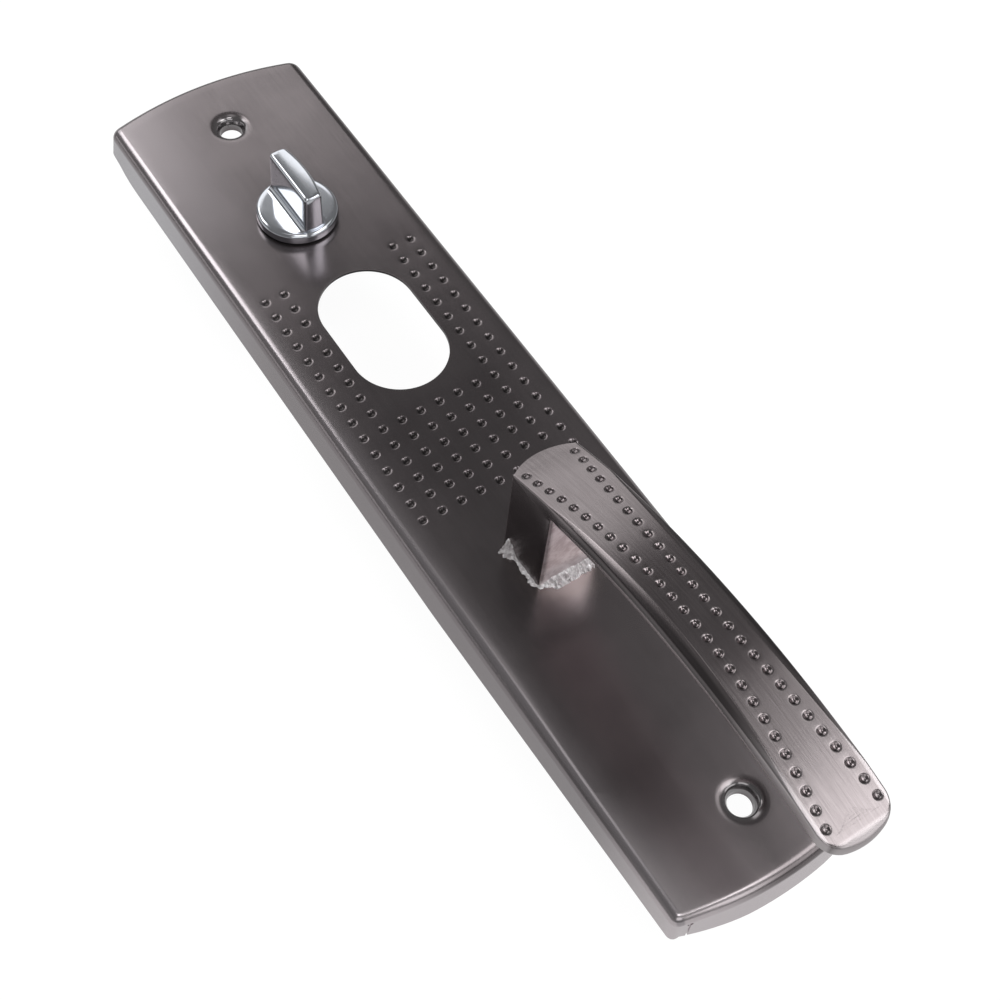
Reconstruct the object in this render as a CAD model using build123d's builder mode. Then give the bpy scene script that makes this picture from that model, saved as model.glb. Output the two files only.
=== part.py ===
"""Inside furniture of a security door: a pressed face plate with a thumb-turn and a welded pull handle.

The plate lies on its back. The origin is at the middle of the rim's back edge, on the door's surface,
+Z points away from the door, +Y to the thumb-turn end and +X across. Lengths are in millimetres.
"""
from build123d import *
import math
import os

os.makedirs("parts", exist_ok=True)

# Face plate
plate_length = 280.6        # over the crowns of the two bowed ends
plate_width = 60.0          # across the top of the long walls
end_rise = 4.4              # how far each bowed end stands beyond its corners
rim_depth = 11.0            # from the door to the face
wall_flare = 1.1            # how far each long wall leans out at its foot
corner_radius = 3.2         # in plan, where a long wall meets an end
fold_radius = 2.6           # outside of the fold between face and wall
sheet = 1.0                 # thickness of the pressed sheet
slit_width = 0.5            # open seam in each end wall beside the corner
slit_offset = 0.8           # from the seam to the end of the bowed end
relief_radius = 0.7         # round relief at the top of each seam

# Holes in the face
screw_spacing = 240.0
screw_hole_radius = 3.1
dish_radius = 5.6           # mouth of the dished seat round a screw hole
dish_depth = 3.4
dish_lip = 1.0              # rounding where the face rolls into the dish
dish_roll = 0.3             # share of the lip's width by which it has turned down at the mouth
dish_seat = 0.8             # share of the depth that is reached midway to the hole
lock_hole_width = 26.6
lock_hole_length = 42.6
lock_hole_y = 35.1

# Field of pressed dots on the face
dot_pitch = 5.65
dot_columns = 9
dot_rows = 15
dot_top_y = 58.2
dot_radius = 1.3
dot_depth = 0.5
lock_columns = 2            # columns on each side of the centre that the lock hole interrupts
lock_rows = 9               # rows, from the top, that the lock hole interrupts

# Thumb-turn
knob_y = 81.0
knob_radius = 11.3
knob_disc = 3.0
knob_edge = 1.1             # rounding of the disc's upper edge
knob_height = 16.2          # above the face
blade_top = 5.0             # thickness of the blade at its ridge
blade_waist = 5.8           # thickness just above its foot
blade_foot = 9.2            # thickness where it spreads on to the disc
blade_inset = 1.1           # from the disc's edge to the blade's end
blade_round = 0.8
shank_radius = 5.0
shank_tail = 4.2            # of the shank, behind the retaining ring
shank_chamfer = 0.4
running_gap = 0.05          # radial and axial clearance of the turning pieces
bush_wall = 1.5
bush_flange = 0.6
bush_flange_radius = 10.4
washer_radius = 8.8
washer_thickness = 0.8
washer_clearance = 0.3      # between the shank and the bores of both washers
spring_radius = 7.8
spring_thickness = 0.4
spring_bow = 0.6
ring_thickness = 0.9
ring_groove = 0.6           # depth of the groove in the shank
ring_band = 1.7             # width of the retaining ring's band
ring_gap_angle = 40.0
ear_radius = 1.2
ear_hole_radius = 0.5
spindle_side = 5.0
spindle_reach = 22.0        # behind the door's surface
spindle_chamfer = 0.6
bore_roof = 1.2             # metal of the disc left above the spindle's bore
seat_gap = 0.02             # between pieces that are pressed or snapped together
pin_radius = 0.9

# Pull handle, a hollow formed bar that bends down into a post
post_front_y = -33.3
post_depth = 18.0
grip_end_y = -147.7
grip_width = 18.0
grip_crown_y = -106.0       # where the arched grip stands highest
grip_crown_height = 44.6    # above the face
grip_arch_radius = 172.0
grip_thickness = 4.4        # at the crown of the arch and at the post
grip_tip_thickness = 3.2    # at the free end
grip_wall = 1.2
grip_end_rise = 2.6         # bow of the free end in plan
grip_end_corner = 6.0
post_front_rise = 3.2       # bow of the post's front in plan
post_corner = 2.2           # bend between the post's cheeks and its back
throat_radius = 2.0         # inside corner between post and grip
waist_width = 13.0          # of the flat web between its creases, at the narrowest
waist_y = -92.0
waist_radius = 424.0
bevel_slope = 0.45
bevel_sections = 9          # cross sections through which each bevel is drawn
bevel_step = 13.0           # between those sections
grip_dot_rows = 27
grip_dot_pitch = 4.04       # along the arch
grip_dot_first_y = -38.7
grip_dot_radius = 1.1
grip_dot_depth = 0.5
grip_dot_waist = 5.4        # between the two rows of dots, at the narrowest
grip_dot_waist_y = -90.2
grip_dot_line_radius = 316.0

# Weld crust at the foot of the post
weld_leg = 1.7              # along the face, on average
weld_height = 1.1           # up the post, on average
weld_swell = 0.45           # share by which both sizes vary
weld_wave = 2.3             # radians of that variation from one section to the next
weld_belly = 0.58           # share of both sizes at which the section's middle corner stands
weld_step = 1.6
weld_bend_sections = 4      # sections round each bend of the post
weld_root = 0.4             # how far the sections reach into the post before it is cut away
spare = 2.0                 # how far cutting shapes are drawn beyond what they cut

# Places that follow from the sizes above
face_z = rim_depth
back_z = face_z - sheet
half_length = plate_length / 2
half_width = plate_width / 2
half_grip = grip_width / 2


def bow_radius(half_chord, rise):
    """Radius of the arc that rises by `rise` over twice `half_chord`."""
    return (half_chord ** 2 + rise ** 2) / (2 * rise)


def bulge(distance, radius):
    """Sagitta of an arc at a distance from its crown."""
    return radius - math.sqrt(radius ** 2 - distance ** 2)


def plate_outline(side, end, inset):
    """Plan of the plate: two straight sides and two bowed ends, drawn `inset` inside side and end."""
    radius = bow_radius(half_width, end_rise) - inset
    x = side - inset
    crown = end - inset
    corner = crown - bulge(x, radius)
    with BuildSketch() as outline:
        with BuildLine():
            Line((x, -corner), (x, corner))
            ThreePointArc((x, corner), (0, crown), (-x, corner))
            Line((-x, corner), (-x, -corner))
            ThreePointArc((-x, -corner), (0, -crown), (x, -corner))
        make_face()
        fillet(outline.vertices(), radius=corner_radius - inset)
    return outline.sketch


def tray(inset):
    """Solid with the plate's outside form, or the hollow of it when drawn one sheet further in."""
    with BuildPart() as block:
        with BuildSketch(Plane.XY):
            add(plate_outline(half_width + wall_flare, half_length, inset))
        with BuildSketch(Plane.XY.offset(rim_depth - inset)):
            add(plate_outline(half_width, half_length, inset))
        loft(ruled=True)
        fillet(block.faces().sort_by(Axis.Z)[-1].edges(), radius=fold_radius - inset)
    return block.part


def dish_section(depth_offset):
    """Points of the dished screw seat, from its lip to its hole, below the face by `depth_offset`."""
    lip_r = dish_radius + dish_lip
    return [(lip_r, face_z - depth_offset),
            (dish_radius - dish_roll * dish_lip, face_z - dish_roll * dish_lip - depth_offset),
            ((dish_radius + screw_hole_radius) / 2, face_z - dish_seat * dish_depth - depth_offset),
            (screw_hole_radius, face_z - dish_depth - depth_offset)]


def dot_places():
    """Centres of the dots on the face, leaving out those that the lock hole takes."""
    middle = dot_columns // 2
    return [((column - middle) * dot_pitch, dot_top_y - row * dot_pitch)
            for row in range(dot_rows) for column in range(dot_columns)
            if row >= lock_rows or abs(column - middle) > lock_columns]


def pit_sphere(radius, depth):
    """Radius of the ball that presses a pit of this mouth radius and depth."""
    return (radius ** 2 + depth ** 2) / (2 * depth)


# Face plate: a tray pressed from one sheet
tray_outside = tray(0)
tray_hollow = tray(sheet)
dot_ball = pit_sphere(dot_radius, dot_depth)
knob_hole_radius = shank_radius + running_gap + bush_wall + running_gap
with BuildPart() as face_plate:
    add(tray_outside)
    add(tray_hollow, mode=Mode.SUBTRACT)
    with Locations(*[(0, end * screw_spacing / 2, 0) for end in (-1, 1)]):
        Cylinder(dish_radius + dish_lip, 2 * (rim_depth + spare), mode=Mode.SUBTRACT)
    for end in (-1, 1):
        seat = Plane.XZ.offset(-end * screw_spacing / 2)
        with BuildSketch(seat):
            with BuildLine():
                upper = Spline(*dish_section(0), tangents=[(-1, 0), (0, -1)])
                lower = Spline(*dish_section(sheet), tangents=[(-1, 0), (0, -1)])
                Line(upper @ 0, lower @ 0)
                Line(upper @ 1, lower @ 1)
            make_face()
        revolve(axis=Axis((0, end * screw_spacing / 2, 0), (0, 0, 1)))
    with BuildSketch(Plane.XY.offset(back_z - spare)):
        with Locations((0, lock_hole_y)):
            SlotOverall(lock_hole_length, lock_hole_width, rotation=90)
        with Locations((0, knob_y)):
            Circle(knob_hole_radius)
    extrude(amount=sheet + 2 * spare, mode=Mode.SUBTRACT)
    with Locations(*[(x, y, face_z - dot_depth + dot_ball) for x, y in dot_places()]):
        Sphere(dot_ball, mode=Mode.SUBTRACT)
    slit_x = half_width - corner_radius - slit_offset
    slit_top = rim_depth - fold_radius - relief_radius
    for side in (-1, 1):
        with BuildSketch(Plane.XZ):
            with Locations((side * slit_x, (slit_top - spare) / 2)):
                Rectangle(slit_width, slit_top + spare)
            with Locations((side * slit_x, slit_top)):
                Circle(relief_radius)
        extrude(amount=half_length, both=True, mode=Mode.SUBTRACT)
face_plate.part.label = "face_plate"
export_step(face_plate.part, "parts/face_plate.step")


# Pull handle
crown_z = face_z + grip_crown_height
post_back_y = post_front_y - post_depth


def arch_z(y, drop=0.0):
    """Height of the grip's upper arc at y, or of the arc that runs `drop` below it."""
    radius = grip_arch_radius - drop
    return crown_z - grip_arch_radius + math.sqrt(radius ** 2 - (y - grip_crown_y) ** 2)


def crease_x(y):
    """Half width of the flat web between its creases at y."""
    return waist_width / 2 + bulge(y - waist_y, waist_radius)


def handle_side(wall):
    """Side view of the handle: post and arched grip, drawn `wall` inside and left long at both ends."""
    front = post_front_y + grip_wall
    end = grip_end_y - grip_wall
    back = post_back_y + wall
    top = wall
    under = grip_thickness - wall
    tip = grip_tip_thickness - wall
    mid = grip_crown_y
    with BuildSketch() as view:
        with BuildLine():
            ThreePointArc((front, arch_z(front, top)), (mid, arch_z(mid, top)), (end, arch_z(end, top)))
            Line((end, arch_z(end, top)), (end, arch_z(end, tip)))
            ThreePointArc((end, arch_z(end, tip)), (mid, arch_z(mid, under)), (back, arch_z(back, under)))
            Polyline((back, arch_z(back, under)), (back, face_z), (front, face_z),
                     (front, arch_z(front, top)))
        make_face()
        throat = view.vertices().sort_by_distance((back, arch_z(back, under)))[0]
        fillet(throat, radius=throat_radius + wall)
    return view.sketch


def handle_plan(wall):
    """Plan of the handle with its bowed front and its rounded, bowed free end, drawn `wall` inside."""
    x = half_grip - wall
    front = post_front_y - wall
    end = grip_end_y + wall
    front_corner = front - bulge(x, bow_radius(half_grip, post_front_rise) - wall)
    end_corner = end + bulge(x, bow_radius(half_grip, grip_end_rise) - wall)
    with BuildSketch() as plan:
        with BuildLine():
            ThreePointArc((-x, front_corner), (0, front), (x, front_corner))
            Line((x, front_corner), (x, end_corner))
            ThreePointArc((x, end_corner), (0, end), (-x, end_corner))
            Line((-x, end_corner), (-x, front_corner))
        make_face()
        fillet(plan.vertices().group_by(Axis.Y)[0], radius=grip_end_corner - wall)
    return plan.sketch


def handle_block(wall):
    """The handle's outside form, or its hollow when drawn one wall further in: side view trimmed by plan."""
    with BuildPart() as block:
        with BuildSketch(Plane.YZ.offset(-grip_width)):
            add(handle_side(wall))
        extrude(amount=2 * grip_width)
        with BuildSketch(Plane.XY):
            add(handle_plan(wall))
        extrude(amount=2 * crown_z, mode=Mode.INTERSECT)
        back = post_back_y + wall
        upright = block.edges().filter_by(Axis.Z).group_by(Axis.Y)
        bends = [edge for group in upright for edge in group if abs(edge.center().Y - back) < 0.01]
        fillet(bends, radius=post_corner - wall)
    return block.part


with BuildPart() as bevel:
    reach = half_grip + spare
    for step in range(bevel_sections):
        y = waist_y + (step - bevel_sections // 2) * bevel_step
        with BuildSketch(Plane.XZ.offset(-y)):
            with BuildLine():
                Polyline((crease_x(y), arch_z(y)), (reach, arch_z(y) - (reach - crease_x(y)) * bevel_slope),
                         (reach, arch_z(y) + spare), (crease_x(y), arch_z(y)))
            make_face()
    loft()


def grip_dot_centres(ball):
    """Centres of the balls that press the grip's dots, in two bowed rows along the arch."""
    first = math.asin((grip_dot_first_y - grip_crown_y) / grip_arch_radius)
    step = grip_dot_pitch / grip_arch_radius
    lifted = grip_arch_radius + ball - grip_dot_depth
    centres = []
    for row in range(grip_dot_rows):
        angle = first - row * step
        y = grip_crown_y + grip_arch_radius * math.sin(angle)
        x = grip_dot_waist / 2 + bulge(y - grip_dot_waist_y, grip_dot_line_radius)
        ball_y = grip_crown_y + lifted * math.sin(angle)
        ball_z = crown_z - grip_arch_radius + lifted * math.cos(angle)
        centres += [(-x, ball_y, ball_z), (x, ball_y, ball_z)]
    return centres


grip_ball = pit_sphere(grip_dot_radius, grip_dot_depth)
handle_outside = handle_block(0)
handle_hollow = handle_block(grip_wall)
with BuildPart() as pull_handle:
    add(handle_outside)
    add(bevel.part, mode=Mode.SUBTRACT)
    add(mirror(bevel.part, about=Plane.YZ), mode=Mode.SUBTRACT)
    add(handle_hollow, mode=Mode.SUBTRACT)
    with Locations(*grip_dot_centres(grip_ball)):
        Sphere(grip_ball, mode=Mode.SUBTRACT)
pull_handle.part.label = "pull_handle"
export_step(pull_handle.part, "parts/pull_handle.step")


# Weld crust round three sides of the post's foot
def weld_stations():
    """Places and outward directions along the foot: left cheek, left bend, back, right bend, right cheek."""
    bend_x = half_grip - post_corner
    bend_y = post_back_y + post_corner
    cheek_top = post_front_y - post_front_rise - weld_leg
    stations = []
    cheek_steps = max(2, round((cheek_top - bend_y) / weld_step))
    for step in range(cheek_steps):
        y = cheek_top + (bend_y - cheek_top) * step / cheek_steps
        stations.append(((-half_grip, y), 180.0))
    for step in range(weld_bend_sections):
        angle = 180 + 90 * step / (weld_bend_sections - 1)
        stations.append(((-bend_x + post_corner * math.cos(math.radians(angle)),
                          bend_y + post_corner * math.sin(math.radians(angle))), angle))
    back_steps = max(2, round(bend_x / weld_step))
    for step in range(1, back_steps + 1):
        stations.append(((-bend_x * (1 - step / back_steps), post_back_y), 270.0))
    mirrored = [((-x, y), 540.0 - angle) for (x, y), angle in reversed(stations[:-1])]
    return stations + mirrored


def weld_section(place, angle, index):
    """Uneven triangle of weld metal in the corner between the post and the face."""
    out = weld_leg * (1 + weld_swell * math.sin(weld_wave * index))
    up = weld_height * (1 + weld_swell * math.cos(2 * weld_wave * index))
    outward = Vector(math.cos(math.radians(angle)), math.sin(math.radians(angle)), 0)
    root = Vector(place[0], place[1], face_z) - outward * weld_root
    with BuildSketch(Plane(origin=root, x_dir=outward, z_dir=outward.cross(Vector(0, 0, 1)))) as section:
        with BuildLine():
            Polyline((0, 0), (weld_root + out, 0), (weld_root + weld_belly * out, weld_belly * up),
                     (weld_root, up), (0, up), (0, 0))
        make_face()
    return section.sketch


with BuildPart() as weld_crust:
    sections = [weld_section(place, angle, index) for index, (place, angle) in enumerate(weld_stations())]
    loft(sections=[section.faces()[0] for section in sections], ruled=True)
    add(handle_outside, mode=Mode.SUBTRACT)
weld_crust.part.label = "weld_crust"
export_step(weld_crust.part, "parts/weld_crust.step")


# Thumb-turn: heights of the stack, from the disc down to the end of the shank
disc_bottom = face_z + bush_flange + running_gap
disc_top = disc_bottom + knob_disc
knob_top = face_z + knob_height
washer_bottom = back_z - washer_thickness
spring_crown = washer_bottom - running_gap
spring_curve = bow_radius(spring_radius, spring_bow)
spring_centre = spring_crown - spring_curve
spring_foot = spring_centre + math.sqrt((spring_curve - spring_thickness) ** 2 - spring_radius ** 2)
ring_top = spring_foot - running_gap
ring_bottom = ring_top - ring_thickness
groove_radius = shank_radius - ring_groove
shank_end = ring_bottom - shank_tail
pin_z = shank_end + shank_tail / 2
bore_side = spindle_side + 2 * seat_gap
bore_top = disc_top - bore_roof
washer_bore = shank_radius + washer_clearance
knob_axis = Axis((0, knob_y, 0), (0, 0, 1))
knob_section = Plane.XZ.offset(-knob_y)


def knob_level(z):
    """Horizontal plane centred on the thumb-turn's axis."""
    return Plane(origin=(0, knob_y, z))


# The blade has hollow flanks that spread on to the disc, and is trimmed to a circle inside the disc's edge
with BuildPart() as blade:
    blade_radius = knob_radius - blade_inset
    waist_z = disc_top + (blade_foot - blade_waist) / 2
    with BuildSketch(Plane.XZ.offset(-knob_y - knob_radius)):
        with BuildLine():
            ridge = (blade_top / 2, knob_top)
            waist = (blade_waist / 2, waist_z)
            foot = (blade_foot / 2, disc_top)
            Line((0, knob_top), ridge)
            flank = Line(ridge, waist)
            TangentArc(waist, foot, tangent=flank % 1)
            Polyline(foot, (blade_foot / 2, disc_bottom + knob_disc / 2), (0, disc_bottom + knob_disc / 2),
                     (0, knob_top))
        make_face()
        mirror(about=Plane.YZ)
    extrude(amount=2 * knob_radius)
    with BuildSketch(knob_level(disc_bottom)):
        Circle(blade_radius)
    extrude(amount=knob_height, mode=Mode.INTERSECT)
    fillet(blade.faces().sort_by(Axis.Z)[-1].edges(), radius=blade_round)

with BuildPart() as thumb_turn_knob:
    with BuildSketch(knob_section):
        with BuildLine():
            Line((0, disc_top), (knob_radius - knob_edge, disc_top))
            JernArc((knob_radius - knob_edge, disc_top), (1, 0), knob_edge, -90)
            Polyline((knob_radius, disc_top - knob_edge), (knob_radius, disc_bottom), (shank_radius, disc_bottom),
                     (shank_radius, ring_top + running_gap), (groove_radius, ring_top + running_gap),
                     (groove_radius, ring_bottom), (shank_radius, ring_bottom),
                     (shank_radius, shank_end + shank_chamfer), (shank_radius - shank_chamfer, shank_end),
                     (0, shank_end), (0, disc_top))
        make_face()
    revolve(axis=knob_axis)
    add(blade.part)
    with BuildSketch(knob_level(shank_end)):
        Rectangle(bore_side, bore_side)
    extrude(amount=bore_top - shank_end, mode=Mode.SUBTRACT)
    with BuildSketch(Plane.YZ.offset(-knob_radius)):
        with Locations((knob_y, pin_z)):
            Circle(pin_radius + seat_gap)
    extrude(amount=2 * knob_radius, mode=Mode.SUBTRACT)
thumb_turn_knob.part.label = "thumb_turn_knob"
export_step(thumb_turn_knob.part, "parts/thumb_turn_knob.step")

with BuildPart() as knob_bush:
    with BuildSketch(knob_level(back_z)):
        Circle(shank_radius + running_gap + bush_wall)
    extrude(amount=sheet)
    with BuildSketch(knob_level(face_z)):
        Circle(bush_flange_radius)
    extrude(amount=bush_flange)
    with BuildSketch(knob_level(back_z)):
        Circle(shank_radius + running_gap)
    extrude(amount=sheet + bush_flange, mode=Mode.SUBTRACT)
knob_bush.part.label = "knob_bush"
export_step(knob_bush.part, "parts/knob_bush.step")

with BuildPart() as flat_washer:
    with BuildSketch(knob_level(washer_bottom)):
        Circle(washer_radius)
        Circle(washer_bore, mode=Mode.SUBTRACT)
    extrude(amount=washer_thickness)
flat_washer.part.label = "flat_washer"
export_step(flat_washer.part, "parts/flat_washer.step")

# The spring washer is a ring of sheet bowed about an axis along Y
with BuildPart() as spring_washer:
    with BuildSketch(Plane.XZ.offset(-knob_y - spring_radius)):
        with Locations((0, spring_centre)):
            Circle(spring_curve)
            Circle(spring_curve - spring_thickness, mode=Mode.SUBTRACT)
    extrude(amount=2 * spring_radius)
    with BuildSketch(knob_level(spring_centre)):
        Circle(spring_radius)
        Circle(washer_bore, mode=Mode.SUBTRACT)
    extrude(amount=2 * spring_curve, mode=Mode.INTERSECT)
spring_washer.part.label = "spring_washer"
export_step(spring_washer.part, "parts/spring_washer.step")

# Snap ring in the shank's groove, with an eyed ear at each side of its gap
with BuildPart() as retaining_ring:
    ring_inside = groove_radius + seat_gap
    ring_outside = ring_inside + ring_band
    wedge = 2 * ring_outside
    ear_angle = ring_gap_angle / 2 + math.degrees(math.asin(ear_radius / ring_outside))
    with BuildSketch(knob_level(ring_bottom)):
        Circle(ring_outside)
        with BuildLine():
            left = (wedge * math.cos(math.radians(90 + ring_gap_angle / 2)),
                    wedge * math.sin(math.radians(90 + ring_gap_angle / 2)))
            Polyline((0, 0), left, (-left[0], left[1]), (0, 0))
        make_face(mode=Mode.SUBTRACT)
        with PolarLocations(ring_outside, 2, start_angle=90 - ear_angle, angular_range=2 * ear_angle,
                            endpoint=True):
            Circle(ear_radius)
        Circle(ring_inside, mode=Mode.SUBTRACT)
        with PolarLocations(ring_outside, 2, start_angle=90 - ear_angle, angular_range=2 * ear_angle,
                            endpoint=True):
            Circle(ear_hole_radius, mode=Mode.SUBTRACT)
    extrude(amount=ring_thickness)
retaining_ring.part.label = "retaining_ring"
export_step(retaining_ring.part, "parts/retaining_ring.step")

with BuildPart() as spindle:
    with BuildSketch(knob_level(-spindle_reach)):
        Rectangle(spindle_side, spindle_side)
    extrude(amount=bore_top + spindle_reach)
    chamfer(spindle.faces().sort_by(Axis.Z)[0].edges(), length=spindle_chamfer)
    with BuildSketch(Plane.YZ.offset(-spindle_side)):
        with Locations((knob_y, pin_z)):
            Circle(pin_radius + seat_gap)
    extrude(amount=2 * spindle_side, mode=Mode.SUBTRACT)
spindle.part.label = "spindle"
export_step(spindle.part, "parts/spindle.step")

with BuildPart() as spindle_pin:
    with BuildSketch(Plane.YZ.offset(-shank_radius)):
        with Locations((knob_y, pin_z)):
            Circle(pin_radius)
    extrude(amount=2 * shank_radius)
spindle_pin.part.label = "spindle_pin"
export_step(spindle_pin.part, "parts/spindle_pin.step")
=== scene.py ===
"""Looks of a security door handle: a brushed dark plate with a welded pull handle and a chrome thumb-turn.

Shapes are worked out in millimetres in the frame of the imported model, and put into meshes in metres.
"""

import math

import bmesh
import bpy
import numpy as np
from mathutils import Matrix, Vector


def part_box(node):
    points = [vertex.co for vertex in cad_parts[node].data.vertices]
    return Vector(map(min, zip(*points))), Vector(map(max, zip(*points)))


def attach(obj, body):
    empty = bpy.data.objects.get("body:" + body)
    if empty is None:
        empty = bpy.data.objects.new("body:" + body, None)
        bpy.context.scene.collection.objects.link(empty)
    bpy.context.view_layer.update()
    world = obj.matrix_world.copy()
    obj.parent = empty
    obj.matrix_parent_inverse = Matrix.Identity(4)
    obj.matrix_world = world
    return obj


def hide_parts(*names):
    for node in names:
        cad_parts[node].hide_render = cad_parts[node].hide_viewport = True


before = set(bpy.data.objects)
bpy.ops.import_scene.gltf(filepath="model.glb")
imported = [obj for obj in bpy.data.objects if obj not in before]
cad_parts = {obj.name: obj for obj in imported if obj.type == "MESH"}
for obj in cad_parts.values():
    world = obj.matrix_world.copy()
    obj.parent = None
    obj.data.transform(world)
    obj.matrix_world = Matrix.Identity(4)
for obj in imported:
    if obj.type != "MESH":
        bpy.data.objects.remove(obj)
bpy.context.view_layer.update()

MM = 0.001
JOIN_GRID, JOIN_SHIFT = 2e-4, 0.31831    # grid on which close points count as one, and its offset in steps

# Face plate, in millimetres like all the shapes
PLATE_HALF_LENGTH = 140.3
PLATE_HALF_WIDTH = 30.0
END_RISE = 4.4
RIM_DEPTH = 11.0
WALL_FLARE = 1.1             # how far the long walls' foot stands out
FLARE_START_Y = -40.0
PINCH = 1.6                  # how much less far it does at the grip's end
END_LEAN = 1.7
LEAN_START_X = 10.0
LEAN_POWER = 1.5
CORNER_CUT = 3.2             # how far the foot rises at the two upper corners
CORNER_CUT_REACH = 200.0, 6.0     # across, on the square of x, and along
CROWN = 0.35
ROLL = 0.35                  # drop of the face at its long sides
ROLL_GROWTH = 0.35           # more of it towards the grip's end
ROLL_GROWTH_Y = 20.0
ROLL_GROWTH_RUN = 100.0
ROLL_END_Y = 101.0
ROLL_FADE = 40.0
END_TUCK = 1.5
TUCK_START_Y = -127.0
CORNER_RADIUS = 3.2
FOLD_RADIUS = 2.6
SHEET = 1.0
SLIT_HALF_WIDTH = 0.25
SLIT_OFFSET = 0.8
RELIEF_RADIUS = 0.7
RELIEF_TURN = 2.77           # where the round relief meets the seam, in radians from its top
SCREW_Y = 120.0
SCREW_HOLE_RADIUS = 3.1
DISH_CORNERS = (3.2, 2.3), (3.95, 0.65), (5.5, 0.0), (7.4, 0.0)    # radius and depth, from the hole outwards
DISH_CUTS = (0.3, 0.6, 1.2)
DISH_DEPTH = 3.4
LOCK_HALF_WIDTH = 13.3
LOCK_HALF_LENGTH = 21.3
LOCK_Y = 35.1
LOCK_ROWS_OUT = 0, 0.3, 0.65, 1    # rows of the face from the opening to the dots, as shares of the way
KNOB_Y = 81.0
KNOB_HOLE_RADIUS = 6.6
DOT_PITCH = 5.65
DOT_COLUMNS = 9
DOT_ROWS = 15
DOT_TOP_Y = 58.2
LOCK_COLUMNS = 2             # on each side of the middle one, left out for the lock opening
LOCK_ROWS = 9
KNOB_PATCH_TOP = 101.0
DISH_PATCH_START = 101.0

# Pits in the face and in the grip
FACE_PIT_RADIUS = 0.95
FACE_PIT_DEPTH = 0.5
FACE_PIT_REACH = 1.7         # radius of the last circle round a pit
GRIP_PIT_RADIUS = 0.84
GRIP_PIT_DEPTH = 0.46
GRIP_PIT_REACH = 1.4
CELL_STEPS = 6
PIT_SHOULDER = 3.6
PIT_BACK_SHARE, PIT_BACK_SPREAD = 0.6, 1.3    # depth and width on the sheet's back, over those on its front
OUTSIDE_PITS = 9.0           # distance over radius that stands for no pit at all

# Pull handle
FACE_Z = RIM_DEPTH
POST_FRONT_Y = -33.3
POST_BACK_Y = -51.3
POST_FRONT_RISE = 3.2
POST_BEND = 2.2
THROAT_RADIUS = 2.0
GRIP_END_Y = -147.7
GRIP_HALF_WIDTH = 9.0
GRIP_CROWN_Y = -106.0
GRIP_CROWN_Z = FACE_Z + 44.6
ARCH_RADIUS = 172.0
GRIP_THICKNESS = 4.4
TIP_THICKNESS = 3.2
UNDER_OVERRUN = 1.2          # the under side's arc is drawn to this far past the free end
END_BOW = 2.6
END_CORNER = 6.0
END_EDGE = 2.6
SIDE_EDGE = 0.45
CREASE_CUT = 0.25
EDGE_INSET = 0.35
END_CREASE = 1.3             # added to the crease's cut in the middle of the free end
END_INSET_SHARE = 2.1        # crease's distance from the free end, in END_EDGE
END_NARROWS = 7.0            # from the free end, where the sides run into its corners
UNDER_CUT = 0.5              # rounding of the grip's under edges
THROAT_SHARE = 1.2           # part of the throat's quarter arc under the grip's last cells, in radians
FRONT_ROWS = 20              # rows of the upper end and the post's front
BEND_ROWS = 4                # of them on the grip, and as many again in the bend
FRONT_BEND_DROP = 0.5
STRIP_STEPS = 2
HALF_WEB_STEPS = 4
WEB_MARGIN = 0.05
WAIST_HALF_WIDTH = 6.5
WAIST_Y = -92.0
CREASE_RADIUS = 424.0
BEVEL_SLOPE = 0.45
GRIP_DOT_ROWS = 27
GRIP_DOT_PITCH = 4.04
GRIP_DOT_FIRST_Y = -38.7
DOT_LINE_HALF = 2.7
DOT_LINE_Y = -90.2
DOT_LINE_RADIUS = 316.0
GRIP_CELL_HALF = 1.55

# Thumb-turn
KNOB_RADIUS = 11.3
KNOB_DISC_BOTTOM = 11.65
KNOB_DISC_TOP = 14.65
KNOB_TOP = 27.2
KNOB_EDGE = 1.1
BLADE_RADIUS = 10.2
BLADE_TOP_HALF = 2.5
BLADE_WAIST_HALF = 2.9
BLADE_FOOT_HALF = 4.6
BLADE_CORNER = 0.8
BLADE_BULGE = 1.2
BLADE_ROOT = 0.8             # how deep the blade starts in the disc
BLADE_BREAKS = 0.0, 0.35, 0.7, 1.0     # points of a slice's side, over its reach
BLADE_END_CUT = 9.0
BLADE_FACE_X = 0.5
DISC_RINGS = 5.0, 9.2
DISC_CHAMFER = 0.25
SHANK_RADIUS = 5.0
SHANK_TIP_RADIUS = 4.6
SHANK_CHAMFER = 0.4
GROOVE_RADIUS = 4.4
RING_PLAY = 0.05
AXIS_RADIUS = 0.01           # of the smallest turned circle, which closes the knob at its axis

# Weld crust
WELD_LEG = 1.5
WELD_START = 0.5             # how far the bead starts before the post's front
WELD_PLACES = 0, 1.2, 3.4, 5.6, 9.5, 11.5, 13.5, 15.5, 18.5, 22.0, 26.0     # along it, from its nearer end
WELD_SIZES = 1.6, 2.1, 1.5, 0.7, 0.6, 1.1, 0.6, 1.3, 2.1, 1.9, 1.0          # of the leg there
CLIMB_PLACES = 0, 2.0, 4.5, 7.0, 15.0, 18.0
CLIMB_SHARES = 1.8, 1.8, 1.1, 0.75, 0.75, 0.5
SWELL, SWELL_SCALE = 0.7, 0.8
RIPPLE, RIPPLE_SCALE = 0.35, 3.1
GRAIN, GRAIN_SCALES = 0.45, (4.0, 7.0)
SIZE_LIMITS = 0.25, 2.2
TAPER_RUN, TAPER_LEAST = 1.2, 0.05
REACH_SHARE, REACH_POWER, REACH_MOST = 1.05, 1.2, 3.0
CLIMB_POWER, CLIMB_MOST = 1.4, 4.2
ROOT_DEPTH, TOE_DEPTH = 0.3, 0.1


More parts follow.
